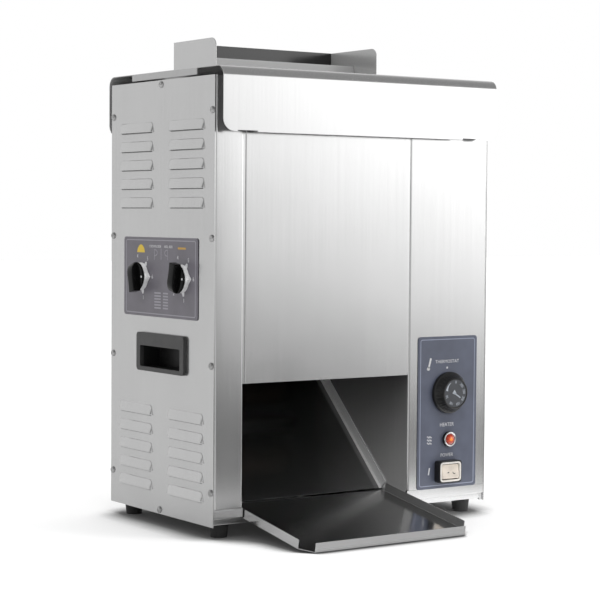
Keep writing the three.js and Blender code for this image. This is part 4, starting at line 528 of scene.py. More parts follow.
looks = {look.name: look for look in (
    sheet_look("brushed_sheet", UPRIGHT_GRAIN, 0.62, 0.17),
    sheet_look("side_sheet", COVER_GRAIN, 0.62, 0.2, streak=0.008),
    feeder_look(),
    sheet_look("bright_sheet", LEVEL_GRAIN, 0.6, 0.12, metallic=0.98),
    wall_look(),
    hood_look(),
    tray_look(),
    sheet_look("divider_sheet", LEVEL_GRAIN, 0.62, 0.3, metallic=0.3),
    slide_look(),
    moulded_look("foot_rubber", (0.012, 0.012, 0.012), 0.7, 0.3),
    plain_metal_look("platen_metal", 0.55, 0.38, (40, 500, 600)),
    plain_metal_look("dark_steel", 0.24, 0.42),
    plain_metal_look("roller_metal", 0.5, 0.35, (700, 60, 60)),
    cloth_look("release_cloth", (0.16, 0.12, 0.08)),
    moulded_look("belt_rubber", (0.10, 0.07, 0.055), 0.55, 0.25),
    moulded_look("motor_paint", (0.08, 0.085, 0.09), 0.45, 0.4),
    plain_metal_look("gearbox_metal", 0.42, 0.5, (180, 180, 180)),
    plate_look("grey_plate", (0.145, 0.136, 0.16), 0.42),
    plate_look("blue_grey_plate", (0.105, 0.118, 0.165), 0.36),
    moulded_look("black_plastic", (0.012, 0.012, 0.012), 0.34, 0.1),
    moulded_look("knob_plastic", (0.004, 0.004, 0.004), 0.14, 0.03, specular=0.12),
    handle_look(),
    moulded_look("dial_plastic", (0.012, 0.012, 0.012), 0.36, 0.15),
    plate_look("dial_print", (0.062, 0.066, 0.076), 0.4),
    moulded_look("white_plastic", (0.93, 0.93, 0.94), 0.25, 0.03, coat=0.5),
    moulded_look("cream_plastic", (0.74, 0.66, 0.57), 0.25, 0.04, coat=0.3),
    moulded_look("ivory_plastic", (0.84, 0.81, 0.76), 0.2, 0.03, coat=0.5),
    plain_metal_look("lamp_chrome", 0.85, 0.2),
    plain_metal_look("screw_steel", 0.5, 0.3),
    lens_look("amber_lens", at(LAMP_X, 0, LAMP_Z)),
    moulded_look("pale_ceramic", (0.68, 0.64, 0.55), 0.35, 0.1),
    print_look("white_ink", (0.8, 0.8, 0.82)),
    print_look("dim_ink", (0.36, 0.35, 0.39)),
    print_look("dial_ink", (0.56, 0.6, 0.66)),
    print_look("blue_ink", (0.36, 0.39, 0.5)),
    print_look("yellow_ink", (0.85, 0.6, 0.06)),
    print_look("ochre_ink", (0.6, 0.36, 0.07)),
)}


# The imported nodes


def soften_group(angle):
    """Nodes that join a mesh's split corners and shade it smooth, except over sharp edges."""
    group = bpy.data.node_groups.new("soften", "GeometryNodeTree")
    for side in ("INPUT", "OUTPUT"):
        group.interface.new_socket("Geometry", in_out=side, socket_type="NodeSocketGeometry")

    def add(kind, **settings):
        made = group.nodes.new(kind)
        for key, value in settings.items():
            setattr(made, key, value)
        return made

    steps = [
        add("NodeGroupInput"),
        add("GeometryNodeRemoveAttribute"),
        add("GeometryNodeMergeByDistance"),
        add("GeometryNodeSetShadeSmooth", domain="FACE"),
        add("GeometryNodeSetShadeSmooth", domain="EDGE"),
        add("NodeGroupOutput"),
    ]
    for before, after in zip(steps, steps[1:]):
        group.links.new(before.outputs[0], after.inputs[0])
    steps[1].inputs["Name"].default_value = "custom_normal"
    steps[2].inputs["Distance"].default_value = 2e-6
    steps[4].inputs["Shade Smooth"].default_value = False
    measure = add("GeometryNodeInputMeshEdgeAngle")
    compare = add("FunctionNodeCompare", data_type="FLOAT", operation="GREATER_THAN")
    group.links.new(measure.outputs["Unsigned Angle"], compare.inputs["A"])
    compare.inputs["B"].default_value = angle
    group.links.new(compare.outputs["Result"], steps[4].inputs["Selection"])
    return group


SOFTEN = soften_group(math.radians(32))
SOFTEN_LITTLE = soften_group(math.radians(9))
NODE_LOOKS = {
    "left_side_cover": "side_sheet",
    "right_side_cover": "side_sheet",
    "bun_feeder": "long_sheet",
    "feeder_divider": "divider_sheet",
    "top_cover": "hood_sheet",
    "landing_tray": "tray_sheet",
    "left_frame_channel": "wall_sheet",
    "right_frame_channel": "wall_sheet",
    "chute_slide": "slide_sheet",
    "left_handle": "handle_plastic",
    "right_handle": "handle_plastic",
}
ROUNDED_EDGES = {
    0.2: ("compression_plate", "control_plate"),
    0.25: (
        "bun_feeder", "feeder_divider", "landing_tray", "chute_slide",
        "front_conveyor_cover", "rear_conveyor_cover",
    ),
    0.3: ("top_cover",),
    0.6: ("left_handle", "right_handle", "power_switch_housing"),
}
EDGE_ROUNDING = {name: width for width, names in ROUNDED_EDGES.items() for name in names}


def dress(node, look):
    """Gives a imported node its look, smooth faces and, where it has them, rounded edges."""
    for slot in node.material_slots:
        slot.link = "OBJECT"
        slot.material = look.material
    modifier = node.modifiers.new("soften", "NODES")
    modifier.node_group = SOFTEN_LITTLE if node.name.endswith("side_cover") else SOFTEN
    if node.name in EDGE_ROUNDING:
        bevel = node.modifiers.new("edges", "BEVEL")
        bevel.width = EDGE_ROUNDING[node.name] * MM
        bevel.segments = 2
        bevel.limit_method = "ANGLE"
        bevel.angle_limit = math.radians(40)
    weighted = node.modifiers.new("normals", "WEIGHTED_NORMAL")
    weighted.keep_sharp = True
    weighted.weight = 100


for row in frame["record"]["subparts"]:
    dress(nodes[row["node"]], looks[NODE_LOOKS.get(row["node"], row["material_slot"])])


# Making pieces


class Form:
    """Faces gathered in one mesh, in a face's own millimetres: right, up and outward."""

    def __init__(self):
        self.mesh = bmesh.new()

    def rings(self, rings, close_start=True, close_end=True):
        """Skins a run of closed rings, each a list of as many points."""
        rows = [[self.mesh.verts.new(p) for p in ring] for ring in rings]
        count = len(rows[0])
        for low, high in zip(rows, rows[1:]):
            for i in range(count):
                j = (i + 1) % count
                self.mesh.faces.new((low[i], low[j], high[j], high[i]))
        if close_start:
            self.mesh.faces.new(rows[0][::-1])
        if close_end:
            self.mesh.faces.new(rows[-1])
        return self

    def revolve(self, profile, sides, ripple=lambda angle: 0.0):
        """Turns radius and outward pairs about the outward axis. A third number is how much it is rippled."""
        rings = []
        for radius, out, *depth in profile:
            ring = []
            for i in range(sides):
                angle = math.tau * i / sides
                reach = radius - (depth[0] if depth else 0.0) * ripple(angle)
                ring.append((reach * math.cos(angle), reach * math.sin(angle), out))
            rings.append(ring)
        return self.rings(rings)

    def slab(self, outline, out, thickness=INK):
        """A thin flat mark that stands on the plane at that height."""
        levels = (out, out + thickness)
        return self.rings([[(x, y, level) for x, y in outline] for level in levels], close_start=False)

    def line(self, points, width, out):
        """A printed line along the points, with square ends."""
        left, right = [], []
        for i, point in enumerate(points):
            here = Vector(point)
            before = Vector(points[max(i - 1, 0)])
            after = Vector(points[min(i + 1, len(points) - 1)])
            along = (after - before).normalized()
            across = Vector((-along.y, along.x)) * (width / 2)
            left.append(here + across)
            right.append(here - across)
        return self.slab([tuple(p) for p in right + left[::-1]], out)

    def frame_line(self, x0, y0, x1, y1, corner, width, out):
        """A printed border: a rounded rectangle's outline."""
        outer = rounded(x0, y0, x1, y1, corner)
        inner = rounded(x0 + width, y0 + width, x1 - width, y1 - width, max(corner - width, 0.3))
        edges = ((outer, out), (outer, out + INK), (inner, out + INK), (inner, out))
        rings = [[(x, y, level) for x, y in outline] for outline, level in edges]
        return self.rings(rings, close_start=False, close_end=False)

    def text(self, words, height, x, y, out, turn=0.0, narrow=1.0):
        """Plain lettering, centred on x and y, with capitals of that height."""
        curve = bpy.data.curves.new("lettering", "FONT")
        curve.body = words
        curve.size = height / CAPITAL_SHARE
        curve.align_x = "CENTER"
        curve.align_y = "CENTER"
        curve.extrude = INK / 2
        curve.resolution_u = 3
        made = bpy.data.objects.new("lettering", curve)
        bpy.context.scene.collection.objects.link(made)
        graph = bpy.context.evaluated_depsgraph_get()
        mesh = bpy.data.meshes.new_from_object(made.evaluated_get(graph))
        stretched = Matrix.Scale(narrow, 4, (1, 0, 0))
        mesh.transform(Matrix.Translation((x, y, out + INK / 2)) @ Matrix.Rotation(turn, 4, "Z") @ stretched)
        self.mesh.from_mesh(mesh)
        bpy.data.objects.remove(made)
        bpy.data.meshes.remove(mesh)
        bpy.data.curves.remove(curve)
        return self

    def transform(self, matrix):
        bmesh.ops.transform(self.mesh, matrix=matrix, verts=self.mesh.verts)
        return self

    def piece(self, name, face, look, node, slot=None, replaces=(), smooth=35):
        """Puts the form on a face of the machine, where it rides with that node's body."""
        self.mesh.transform(face)
        bmesh.ops.recalc_face_normals(self.mesh, faces=self.mesh.faces)
        mesh = bpy.data.meshes.new(name)
        self.mesh.to_mesh(mesh)
        self.mesh.free()
        for polygon in mesh.polygons:
            polygon.use_smooth = True
        mesh.set_sharp_from_angle(angle=math.radians(smooth))
        mesh.materials.append(looks[look].material)
        made = bpy.data.objects.new(name, mesh)
        bpy.context.scene.collection.objects.link(made)
        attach(made, nodes[node]["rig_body"])
        if replaces:
            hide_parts(*replaces)
        return made


def rounded(x0, y0, x1, y1, corner, steps=5):
    """A rounded rectangle's outline, counterclockwise."""
    points = []
    for cx, cy, start in (
        (x1 - corner, y0 + corner, -90), (x1 - corner, y1 - corner, 0),
        (x0 + corner, y1 - corner, 90), (x0 + corner, y0 + corner, 180),
    ):
        for i in range(steps + 1):
            angle = math.radians(start + 90 * i / steps)
            points.append((cx + corner * math.cos(angle), cy + corner * math.sin(angle)))
    return points


def inset(outline, depth):
    """The outline moved inward by that much."""
    moved = []
    count = len(outline)
    for i in range(count):
        here = Vector(outline[i])
        along = (Vector(outline[(i + 1) % count]) - Vector(outline[i - 1])).normalized()
        moved.append(tuple(here + Vector((-along.y, along.x)) * depth))
    return moved


def polar(radius, degrees):
    """A point at that radius, with the angle counted clockwise from the top."""
    angle = math.radians(degrees)
    return radius * math.sin(angle), radius * math.cos(angle)


# Compression knobs


def skirt_outline():
    """A disc with one pointed nub towards the front."""
    points = []
    for i in range(SKIRT_SIDES):
        angle = math.tau * i / SKIRT_SIDES
        away = min(angle, math.tau - angle) / NUB_HALF_ANGLE
        nub = (1 - away) ** 1.6 if away < 1 else 0.0
        reach = SKIRT_RADIUS + NUB_REACH * nub
        points.append((reach * math.cos(angle), reach * math.sin(angle)))
    return points


def bar_section(along, top, narrow):
    """The finger bar cut across: upright flanks, rounded over to a flat top."""
    half = BAR_HALF - narrow
    edge = min(BAR_EDGE, (top - BAR_FOOT) * 0.6)
    flank = [(-half, along, BAR_FOOT)]
    for i in range(7):
        angle = math.pi / 2 * i / 6
        flank.append((edge * (1 - math.cos(angle)) - half, along, top - edge * (1 - math.sin(angle))))
    return flank + [(-u, v, w) for u, v, w in reversed(flank)]


def finger_bar():
    """Sections along the bar, from its square tail to its nose, which curves down to the disc."""
    sections = [bar_section(-BAR_TAIL + back, GRIP_TOP - down, narrow)
                for back, down, narrow in ((0.0, 1.0, 1.0), (0.1, 0.5, 0.5), (0.4, 0.1, 0.15))]
    for i in range(12):
        along = BAR_TAIL_ROUND - BAR_TAIL + (BAR_CREST + BAR_TAIL - BAR_TAIL_ROUND) * i / 12
        sections.append(bar_section(along, GRIP_TOP, BAR_WAIST * math.sin(math.pi * i / 12)))
    for i in range(15):
        angle = math.radians(90 - 6 * i)
        along = BAR_CREST + (BAR_NOSE - BAR_CREST) * math.cos(angle)
        sections.append(bar_section(along, GRIP_FLANGE + (GRIP_TOP - GRIP_FLANGE) * math.sin(angle), 0.0))
    return sections


def compression_knob(name, y, turn):
    """A white skirt with its nub, and a black grip with its finger bar, turned by that many degrees."""
    face = left_face(y, KNOB_Z)
    body = f"{name}_knob"
    outline = skirt_outline()
    levels = ((0.0, SKIRT_FOOT), (0.0, SKIRT_TOP - 0.8), (0.3, SKIRT_TOP - 0.2), (0.9, SKIRT_TOP))
    skirt = Form().rings([[(u, v, w) for u, v in inset(outline, depth)] for depth, w in levels])
    skirt.piece(f"{name}_skirt", face, "white_plastic", body, "white_plastic", [f"{name}_knob_pointer"])
    grip = Form().revolve([
        (GRIP_RADIUS - 0.5, GRIP_FOOT), (GRIP_RADIUS, GRIP_FOOT + 0.5), (GRIP_RADIUS, GRIP_FLANGE - 1.0),
        (GRIP_RADIUS - 0.3, GRIP_FLANGE - 0.3), (GRIP_RADIUS - 1.1, GRIP_FLANGE), (6.0, GRIP_FLANGE + 0.3),
    ], GRIP_SIDES)
    grip.rings(finger_bar())
    grip.transform(Matrix.Rotation(math.radians(turn), 4, "Z"))
    grip.piece(f"{name}_grip", face, "knob_plastic", body, "black_plastic", [f"{name}_knob"])
    index = Form().slab(rounded(14.6, -1.3, 17.6, 1.3, 0.6), GRIP_FLANGE - 0.04, 0.16)
    index.piece(f"{name}_grip_index", face, "white_ink", body, "white_plastic")


compression_knob("heel", HEEL_KNOB_Y, 168)
compression_knob("crown", CROWN_KNOB_Y, 12)


# Thermostat dial


def dial_flutes(angle):
    return 0.5 + 0.5 * math.cos(DIAL_FLUTES * angle)


def thermostat_dial(face):
    """A flange, a fluted grip that narrows outward, and a rim round the sunk face."""
    Form().revolve([
        (27.2, DIAL_FOOT), (28.0, DIAL_FOOT + 0.6), (28.0, DIAL_FOOT + 3.9), (27.6, DIAL_FOOT + 4.8),
        (26.6, DIAL_FOOT + 5.2), (26.0, DIAL_FOOT + 6.0), (25.4, DIAL_FOOT + 6.8, 0.5),
        (21.9, DIAL_FACE - 3.0, 0.6), (21.3, DIAL_FACE - 1.5, 0.2), (20.8, DIAL_FACE - 0.6),
        (19.9, DIAL_FACE), (19.2, DIAL_FACE - 0.1), (18.7, DIAL_FACE - DIAL_SUNK),
        (3.0, DIAL_FACE - DIAL_SUNK),
    ], DIAL_SIDES, ripple=dial_flutes).piece(
        "thermostat_dial", face, "dial_plastic", "thermostat_knob", "black_plastic", ["thermostat_knob"])
    disc = [polar(18.5, -3 * i) for i in range(120)]
    Form().slab(disc, DIAL_FACE - DIAL_SUNK - 0.02, 0.12).piece(
        "thermostat_dial_face", face, "dial_print", "thermostat_knob", "black_plastic")


def thermostat_dial_marks(face):
    """The numbers round the dial, a wedge that grows with the heat, and the printed hand in the middle."""
    out = DIAL_FACE - DIAL_SUNK + 0.1
    marks = Form()
    for words, degrees in DIAL_NUMBERS.items():
        place = polar(NUMBER_RADIUS, degrees)
        marks.text(words, NUMBER_HEIGHT, *place, out, -math.radians(degrees), 0.8)
    marks.text("0", ZERO_HEIGHT, *polar(ZERO_RADIUS, ZERO_ANGLE), out, -math.radians(ZERO_ANGLE))
    outer, inner = [], []
    for i in range(17):
        degrees = WEDGE_START + WEDGE_TURN * i / 16
        outer.append(polar(WEDGE_OUTER, degrees))
        inner.append(polar(WEDGE_INNER - WEDGE_DEPTH * (1 - i / 16) ** 1.2, degrees))
    marks.slab(inner + outer[::-1], out)
    marks.slab([(-5.2, 0.2), (-0.9, -1.6), (1.6, 0.2), (-1.4, 5.0)], out)
    marks.line([(-1.6, 0.4), (8.6, -6.2)], 1.6, out)
    marks.piece("thermostat_dial_marks", face, "dial_ink", "thermostat_knob", "white_plastic")


thermostat_dial(front_face(DIAL_X, DIAL_Z))
thermostat_dial_marks(front_face(DIAL_X, DIAL_Z))


# Heater lamp


def lens_facets(angle):
    return 0.5 + 0.5 * math.cos(LENS_FACETS * angle)


def heater_lamp(face):
    """A black housing, a bright ring over its rim, and the domed lens."""
    Form().revolve([
        (9.6, 1.4), (10.0, 1.7), (10.0, 5.0), (9.6, 5.4), (8.4, 5.4), (8.2, 5.0), (7.6, 4.6), (7.4, 1.9),
        (6.9, 1.9),
    ], LAMP_SIDES).piece("lamp_housing", face, "black_plastic", "heater_lamp_bezel", "black_plastic")
    Form().revolve([
        (9.9, 5.1), (10.0, 5.6), (9.6, 6.2), (8.8, 6.4), (8.0, 6.1), (7.5, 5.4), (7.35, 3.2),
    ], LAMP_SIDES).piece(
        "lamp_ring", face, "lamp_chrome", "heater_lamp_bezel", "lamp_chrome", ["heater_lamp_bezel"])
    Form().revolve([
        (7.1, 2.7), (7.1, 5.4), (6.8, 6.1, 0.2), (5.6, 7.0, 0.4), (4.2, 7.5, 0.5), (2.6, 7.8, 0.4),
        (1.2, 7.95),
    ], LENS_SIDES, ripple=lens_facets).piece(
        "lamp_lens", face, "amber_lens", "heater_lamp_lens", "amber_lens", ["heater_lamp_lens"])


heater_lamp(front_face(LAMP_X, LAMP_Z))


# Power switch


def rocker_height(u, v, edge):
    """The rocker's face: two slopes that meet in a soft valley, rounded down at the border."""
    slope = ROCKER_RISE + ROCKER_SLOPE * math.hypot(v, ROCKER_VALLEY)
    beyond = max(0.0, edge - ROCKER_BORDER) / (1 - ROCKER_BORDER)
    return slope - ROCKER_DROP * beyond ** 2


def power_switch(face):
    """An ivory frame, and in it the tilted rocker with its two signs."""
    levels = ((0.0, 12.2), (0.0, 12.5), (0.5, 12.9), (1.6, 12.95), (2.4, 12.5), (2.7, 9.4))
    outline = rounded(*SWITCH_FRAME, SWITCH_FRAME_ROUND)
    rings = [[(u, v, w) for u, v in inset(outline, depth)] for depth, w in levels]
    Form().rings(rings, close_start=False, close_end=False).piece(
        "switch_frame", face, "ivory_plastic", "power_switch_housing", "cream_plastic")

    tilt = Matrix.Translation((0, 0, ROCKER_PIVOT)) @ Matrix.Rotation(ROCKER_ANGLE, 4, "X")
    outline = rounded(*ROCKER, ROCKER_ROUND)
    rings = []
    for i in range(2, ROCKER_RINGS + 1):
        share = i / ROCKER_RINGS
        rings.append([(u * share, v * share, rocker_height(u * share, v * share, share)) for u, v in outline])
    rings.append([(u, v, ROCKER_SKIRT) for u, v in outline])
    Form().rings(rings).transform(tilt).piece(
        "rocker_cap", face, "cream_plastic", "power_rocker", "cream_plastic", ["power_rocker"], 50)
    signs = Form().slab(rounded(-8.4, -2.2, -2.4, -0.7, 0.3), 0.0)
    signs.frame_line(3.4, -4.0, 8.6, 1.2, 2.5, 1.1, 0.0)
    for vert in signs.mesh.verts:
        vert.co.z += rocker_height(vert.co.x, vert.co.y, 0.0)
    signs.transform(tilt).piece("rocker_signs", face, "black_plastic", "power_rocker", "black_plastic")


power_switch(front_face(SWITCH_X, SWITCH_Z))


# Louvres


def louvre(form, u, z):
    """A hood with rounded ends over its slit."""
    ends = [(-a, b) for a, b in LOUVRE_ENDS] + [(0.0, 1.0)] + [(a, b) for a, b in reversed(LOUVRE_ENDS)]
    rows = []
    for along, share in ends:
        row = []
        for rise, out in LOUVRE_RISE:
            up = rise * (0.62 + 0.38 * share) if rise > 0.3 else rise
            row.append(form.mesh.verts.new((u + along, z + up, max(out * share, OFF_FACE))))
        rows.append(row)
    for low, high in zip(rows, rows[1:]):
        for i in range(len(low) - 1):
            form.mesh.faces.new((low[i], high[i], high[i + 1], low[i + 1]))


def louvres(side):
    """Four groups on a side cover, two over and two under the middle, each louvre with a dark slab of painted
    shade under its lip.
    """
    hoods, slit_shade = Form(), Form()
    for start in LOUVRE_STARTS:
        for u in (-LOUVRE_ACROSS, LOUVRE_ACROSS):
            for row in range(LOUVRE_ROWS):
                z = start + row * LOUVRE_PITCH
                louvre(hoods, u, z)
                # A dark slab under the lip: painted shade for the slit's opening.
                slit = rounded(u + SLIT_SHADE_START, z + SLIT_SHADE_FOOT, u + SLIT_SHADE_END, z + SLIT_SHADE_TOP, SLIT_SHADE_ROUND, 3)
                slit_shade.slab(slit, OFF_FACE, SLIT_SHADE_DEPTH)
    face, cover = COVER_FACES[side], f"{side}_side_cover"
    hoods.piece(f"{side}_louvres", face, "side_sheet", cover, "brushed_sheet", smooth=50)
    slit_shade.piece(f"{side}_louvre_slits", face, "dark_steel", cover, "dark_steel")


for side in COVER_FACES:
    louvres(side)


# Seams


def filler(name, x0, x1, deep, z0, z1, node):
    """An upright strip in a seam of the front, set back that far."""
    outline = ((x0, z0), (x1, z0), (x1, z1), (x0, z1))
    rings = [[(x, z, -back) for x, z in outline] for back in (deep + STRIP_THICKNESS, deep)]
    Form().rings(rings).piece(name, front_face(0, 0), "brushed_sheet", node, "brushed_sheet")


filler("left_front_seam", 41.8, 45.1, 0.4, OPENING_TOP, COLUMN_TOP, "left_frame_channel")
filler("right_front_seam", 303.3, 304.4, 0.9, OPENING_TOP, COLUMN_TOP, "right_frame_channel")
filler("left_cover_return", 1.05, 2.9, 0.9, COVER_FOLD, COLUMN_TOP, "left_side_cover")
filler("right_cover_return", 434.0, 435.95, 0.55, COVER_FOLD, COLUMN_TOP, "right_side_cover")
filler("right_plinth_return", 431.0, 435.9, 2.6, 16.1, 26.0, "right_side_cover")


# Cover screws


def screw_head(form, u, z):
    """A pan head with a shallow cross."""
    rings = []
    for i in range(SCREW_RINGS):
        radius = SCREW_RADIUS * (1 - i / (SCREW_RINGS - 0.5))
        dome = SCREW_RIM + SCREW_DOME * (1 - (radius / SCREW_RADIUS) ** 3)
        ring = []
        for k in range(SCREW_SIDES):
            angle = math.tau * k / SCREW_SIDES
            x, up = radius * math.cos(angle), radius * math.sin(angle)
            crossed = min(abs(x), abs(up)) < CROSS_HALF and radius < CROSS_REACH
            ring.append((u + x, z + up, CROSS_FLOOR if crossed else dome))
        rings.append(ring)
    foot = [(a, b, OFF_FACE) for a, b, _ in rings[0]]
    form.rings([foot] + rings, close_start=False)


screw_places = [(0, z) for z in SCREW_ENDS]
screw_places += [(u, z) for u in (-SCREW_ACROSS, SCREW_ACROSS) for z in SCREW_ROWS]
for side, face in COVER_FACES.items():
    heads = Form()
    for u, z in screw_places:
        screw_head(heads, u, z)
    heads.piece(f"{side}_cover_screws", face, "screw_steel", f"{side}_side_cover", "brushed_sheet", smooth=40)


# Printed marks


def compression_plate_lines(face):
    """The border, a small drawing of two buns beside the hot plate, and rows that stand for small print."""
    lines = Form().frame_line(*PLATE_BORDER, PLATE_BORDER_ROUND, PLATE_BORDER_WIDTH, PLATE_OUT)
    for u in BUN_SIDES:
        lines.line([(u, BUN_LOW), (u, 36.0)], 1.1, PLATE_OUT)
    lines.line(HOT_PLATE, 1.3, PLATE_OUT)
    for side, bulge in zip(BUN_SIDES, (BUN_WIDE, -BUN_WIDE)):
        angles = [math.pi * i / 12 for i in range(13)]
        arc = [(side + bulge * math.sin(angle), BUN_HIGH + BUN_TALL * math.cos(angle)) for angle in angles]
        lines.line(arc, 1.1, PLATE_OUT)
    for row in range(PRINT_ROWS):
        v = PRINT_TOP - PRINT_PITCH * row
        for u0, u1 in PRINT_COLUMNS:
            lines.slab(rounded(u0, v - PRINT_HALF, u1, v + PRINT_HALF, 0.3, 2), PLATE_OUT)
    lines.piece("compression_plate_lines", face, "dim_ink", "compression_plate", "grey_plate")


def compression_plate_numbers(face):
    """Six settings round each knob, pointed ticks at the first and the fifth, and words between the knobs."""
    numbers = Form()
    for centre in (COVER_MIDDLE - HEEL_KNOB_Y, COVER_MIDDLE - CROWN_KNOB_Y):
        for number, degrees in enumerate(SETTINGS, start=1):
            angle = math.radians(degrees)
            u, v = centre + SETTING_RADIUS * math.cos(angle), SETTING_RADIUS * math.sin(angle)
            numbers.text(str(number), SETTING_HEIGHT, u, v, PLATE_OUT)
            if number in TICKED_SETTINGS:
                numbers.slab([
                    (centre + radius * math.cos(angle + turn), radius * math.sin(angle + turn))
                    for radius, turn in TICK
                ], PLATE_OUT)
    for words, (height, u, v, narrow) in KNOB_WORDS.items():
        numbers.text(words, height, u, v, PLATE_OUT, narrow=narrow)
    numbers.piece("compression_plate_numbers", face, "white_ink", "compression_plate", "grey_plate")


def bun_marks(face):
    """A domed crown over the rear knob and a flat heel over the front one."""
    dome = []
    u, v = CROWN_MARK_PLACE
    for i in range(21):
        across, up = math.cos(math.pi * i / 20), math.sin(math.pi * i / 20)
        reach = CROWN_MARK_HALF * across * (0.72 + 0.28 * abs(across))
        dome.append((u + reach, v + CROWN_MARK_HEIGHT * up))
    Form().slab(dome, PLATE_OUT).piece(
        "crown_bun_mark", face, "yellow_ink", "compression_plate", "grey_plate")
    Form().slab(rounded(*HEEL_MARK, HEEL_MARK_ROUND), PLATE_OUT).piece(
        "heel_bun_mark", face, "ochre_ink", "compression_plate", "grey_plate")


def dot(form, x, y, radius):
    """A round printed dot."""
    outline = [polar(radius, 360 - 20 * i) for i in range(18)]
    form.slab([(x + right, y + up) for right, up in outline], PLATE_OUT)


def control_plate_marks(face):
    """The border, the words, the dial's index dot, a thermometer, three heat waves and the power's stroke."""
    border = Form().frame_line(*CONTROL_BORDER, CONTROL_BORDER_ROUND, CONTROL_BORDER_WIDTH, PLATE_OUT)
    border.piece("control_plate_border", face, "blue_ink", "control_plate", "blue_grey_plate")
    labels = Form()
    for words, (height, x, z, narrow) in CONTROL_WORDS.items():
        labels.text(words, height, x, z, PLATE_OUT, narrow=narrow)
    dot(labels, 369, 200.6, 1.5)
    labels.line([(337.4, 201.0), (341.0, 214.2)], 3.0, PLATE_OUT)
    dot(labels, 337.0, 200.2, 2.6)
    for z in HEAT_WAVE_HEIGHTS:
        wave = [(HEAT_WAVE_START + i * 0.55, z + 1.1 * math.sin(i * 0.9)) for i in range(15)]
        labels.line(wave, 1.0, PLATE_OUT)
    labels.line([(338.6, 57.0), (340.4, 66.6)], 2.0, PLATE_OUT)
    labels.piece("control_plate_labels", face, "white_ink", "control_plate", "blue_grey_plate")


compression_plate_lines(left_face(COVER_MIDDLE, KNOB_Z))
compression_plate_numbers(left_face(COVER_MIDDLE, KNOB_Z))
bun_marks(left_face(COVER_MIDDLE, KNOB_Z))
control_plate_marks(front_face(0, 0))


# Stage, light and camera


def studio_floor():
    """White to the eye, with a dark contact shadow where the machine stands close over it.

    In reflections it is paler close by and far off than in between, on the window's side.
    """
    mesh = bpy.data.meshes.new("floor")
    corners = ((-1, -1), (1, -1), (1, 1), (-1, 1))
    mesh.from_pydata([(x * FLOOR_HALF, y * FLOOR_HALF, 0) for x, y in corners], [], [(0, 1, 2, 3)])
    floor = bpy.data.objects.new("floor", mesh)
    bpy.context.scene.collection.objects.link(floor)
    look = Look("studio_floor", roughness=0.9, specular_ior_level=0.1)
    rays = look.node("ShaderNodeLightPath").outputs
    away = look.node("ShaderNodeVectorMath", {0: look.place}, operation="LENGTH").outputs["Value"]
    course = look.node("ShaderNodeVectorMath", {0: look.place}, operation="NORMALIZE").outputs[0]
    octaves = look.math("DIVIDE", look.math("ADD", look.math("LOGARITHM", away, 2.0), 2.32), 6.0)
    table = look.ramp(octaves, (
        (0.0, 1.0), (0.1, 0.85), (0.2, 0.4), (0.256, 0.22), (0.353, 0.16), (0.466, 0.16), (0.57, 0.32),
        (0.714, 0.54), (0.85, 0.74), (0.985, 0.92),
    ))
    right = look.span(look.dot(course, ASIDE), 0.7, 1.8, -0.12, 0.14)
    front = look.span(look.dot(course, TOWARDS), 0.0, 1.0, 0.3, 0.85)
    shade = look.mix(front, 0.72, look.math("MULTIPLY", table, right))
    seen = look.math("MAXIMUM", rays["Is Camera Ray"], rays["Is Transmission Ray"])
    close = look.node("ShaderNodeAmbientOcclusion", {"Distance": 0.06}, samples=24).outputs["AO"]
    contact = look.span(close, 0.2, 1.0, 0.5, 0.88)
    tone = look.mix(seen, shade, contact)
    look.set("Base Color", look.node("ShaderNodeCombineXYZ", {0: tone, 1: tone, 2: tone}).outputs[0])
    look.set("Emission Color", grey(1.0))
    look.set("Emission Strength", look.math("MULTIPLY", look.math("MULTIPLY", seen, contact), 0.08))
    mesh.materials.append(look.material)


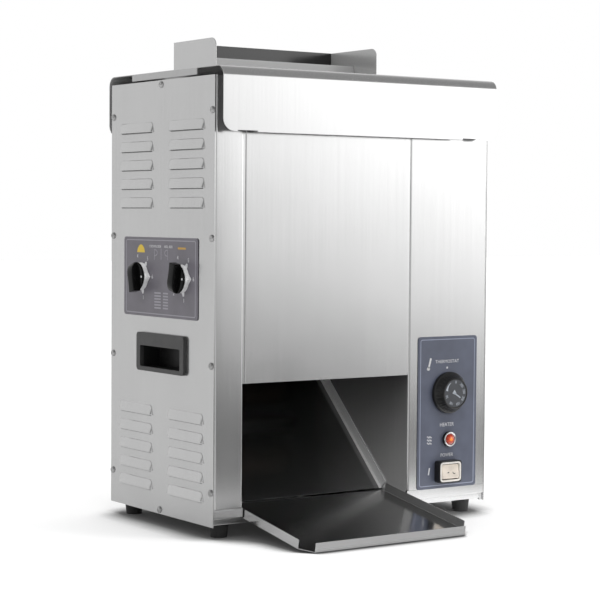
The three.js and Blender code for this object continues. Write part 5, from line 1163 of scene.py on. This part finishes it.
def studio_world():
    """White seen directly. In reflections: a bright window to the front right, with a dim ceiling."""
    world = bpy.data.worlds.new("studio")
    world.use_nodes = True
    bpy.context.scene.world = world
    world.cycles.sampling_method = "NONE"
    nodes = Nodes(world.node_tree)
    nodes.tree.nodes.clear()
    direction = nodes.node("ShaderNodeTexCoord").outputs["Generated"]
    flat = nodes.node("ShaderNodeVectorMath", {0: direction, 1: (1, 1, 0)}, operation="MULTIPLY").outputs[0]
    level = nodes.node("ShaderNodeVectorMath", {0: flat}, operation="NORMALIZE").outputs[0]
    up = nodes.dot(direction, (0, 0, 1))
    rise = nodes.span(up, 0.93, 1.9, -0.02, 0.08)
    right = nodes.span(nodes.dot(level, ASIDE), 0.75, 1.8, -0.1, 0.14)
    window = nodes.mix(nodes.span(up, 0.0, 1.0, 0.12, 0.3), nodes.math("MULTIPLY", rise, right), 0.34)
    behind_camera = nodes.span(nodes.dot(level, (-0.8, -0.6, 0)), 1.0, 0.35, 0.8, 0.95)
    room = nodes.math("MULTIPLY", nodes.span(up, 0.8, 0.34, 0.55, 0.8), behind_camera)
    front = nodes.span(nodes.dot(level, TOWARDS), 0.0, 1.0, 0.3, 0.85)
    rays = nodes.node("ShaderNodeLightPath").outputs
    white = {"Color": (1, 1, 1, 1)}
    glossy = nodes.node("ShaderNodeBackground", white | {"Strength": nodes.mix(front, room, window)})
    sky = nodes.math("ADD", 0.14, nodes.math("MULTIPLY", nodes.math("MAXIMUM", up, 0.0), 1.45))
    seen = nodes.math("MAXIMUM", rays["Is Camera Ray"], rays["Is Transmission Ray"])
    plain = nodes.node("ShaderNodeBackground", white | {"Strength": nodes.mix(seen, sky, 1.0)})
    mixed = nodes.node(
        "ShaderNodeMixShader", {0: rays["Is Glossy Ray"], 1: plain.outputs[0], 2: glossy.outputs[0]})
    nodes.node("ShaderNodeOutputWorld", {"Surface": mixed.outputs[0]})


def key_light():
    data = bpy.data.lights.new("key", "AREA")
    data.size = KEY_SIZE
    data.energy = KEY_POWER
    key = bpy.data.objects.new("key", data)
    bpy.context.scene.collection.objects.link(key)
    key.location = KEY_PLACE
    key.rotation_euler = (KEY_TARGET - KEY_PLACE).to_track_quat("-Z", "Y").to_euler()
    key.visible_glossy = False


def camera():
    """The photograph's viewpoint, 2.4 metres away at about two thirds of the machine's height."""
    forth = (math.sin(CAMERA_YAW) * math.cos(CAMERA_PITCH), math.cos(CAMERA_YAW) * math.cos(CAMERA_PITCH))
    ahead = Vector((*forth, -math.sin(CAMERA_PITCH)))
    level = Vector((math.cos(CAMERA_YAW), -math.sin(CAMERA_YAW), 0))
    above = level.cross(ahead)
    right = math.cos(CAMERA_ROLL) * level + math.sin(CAMERA_ROLL) * above
    up = -math.sin(CAMERA_ROLL) * level + math.cos(CAMERA_ROLL) * above
    data = bpy.data.cameras.new("camera")
    data.lens = CAMERA_LENS
    data.sensor_width = 36
    made = bpy.data.objects.new("camera", data)
    bpy.context.scene.collection.objects.link(made)
    made.matrix_world = placed(right, up, -ahead, at(*CAMERA_PLACE))
    bpy.context.scene.camera = made


studio_floor()
studio_world()
key_light()
camera()
bpy.context.scene.view_settings.view_transform = "Standard"
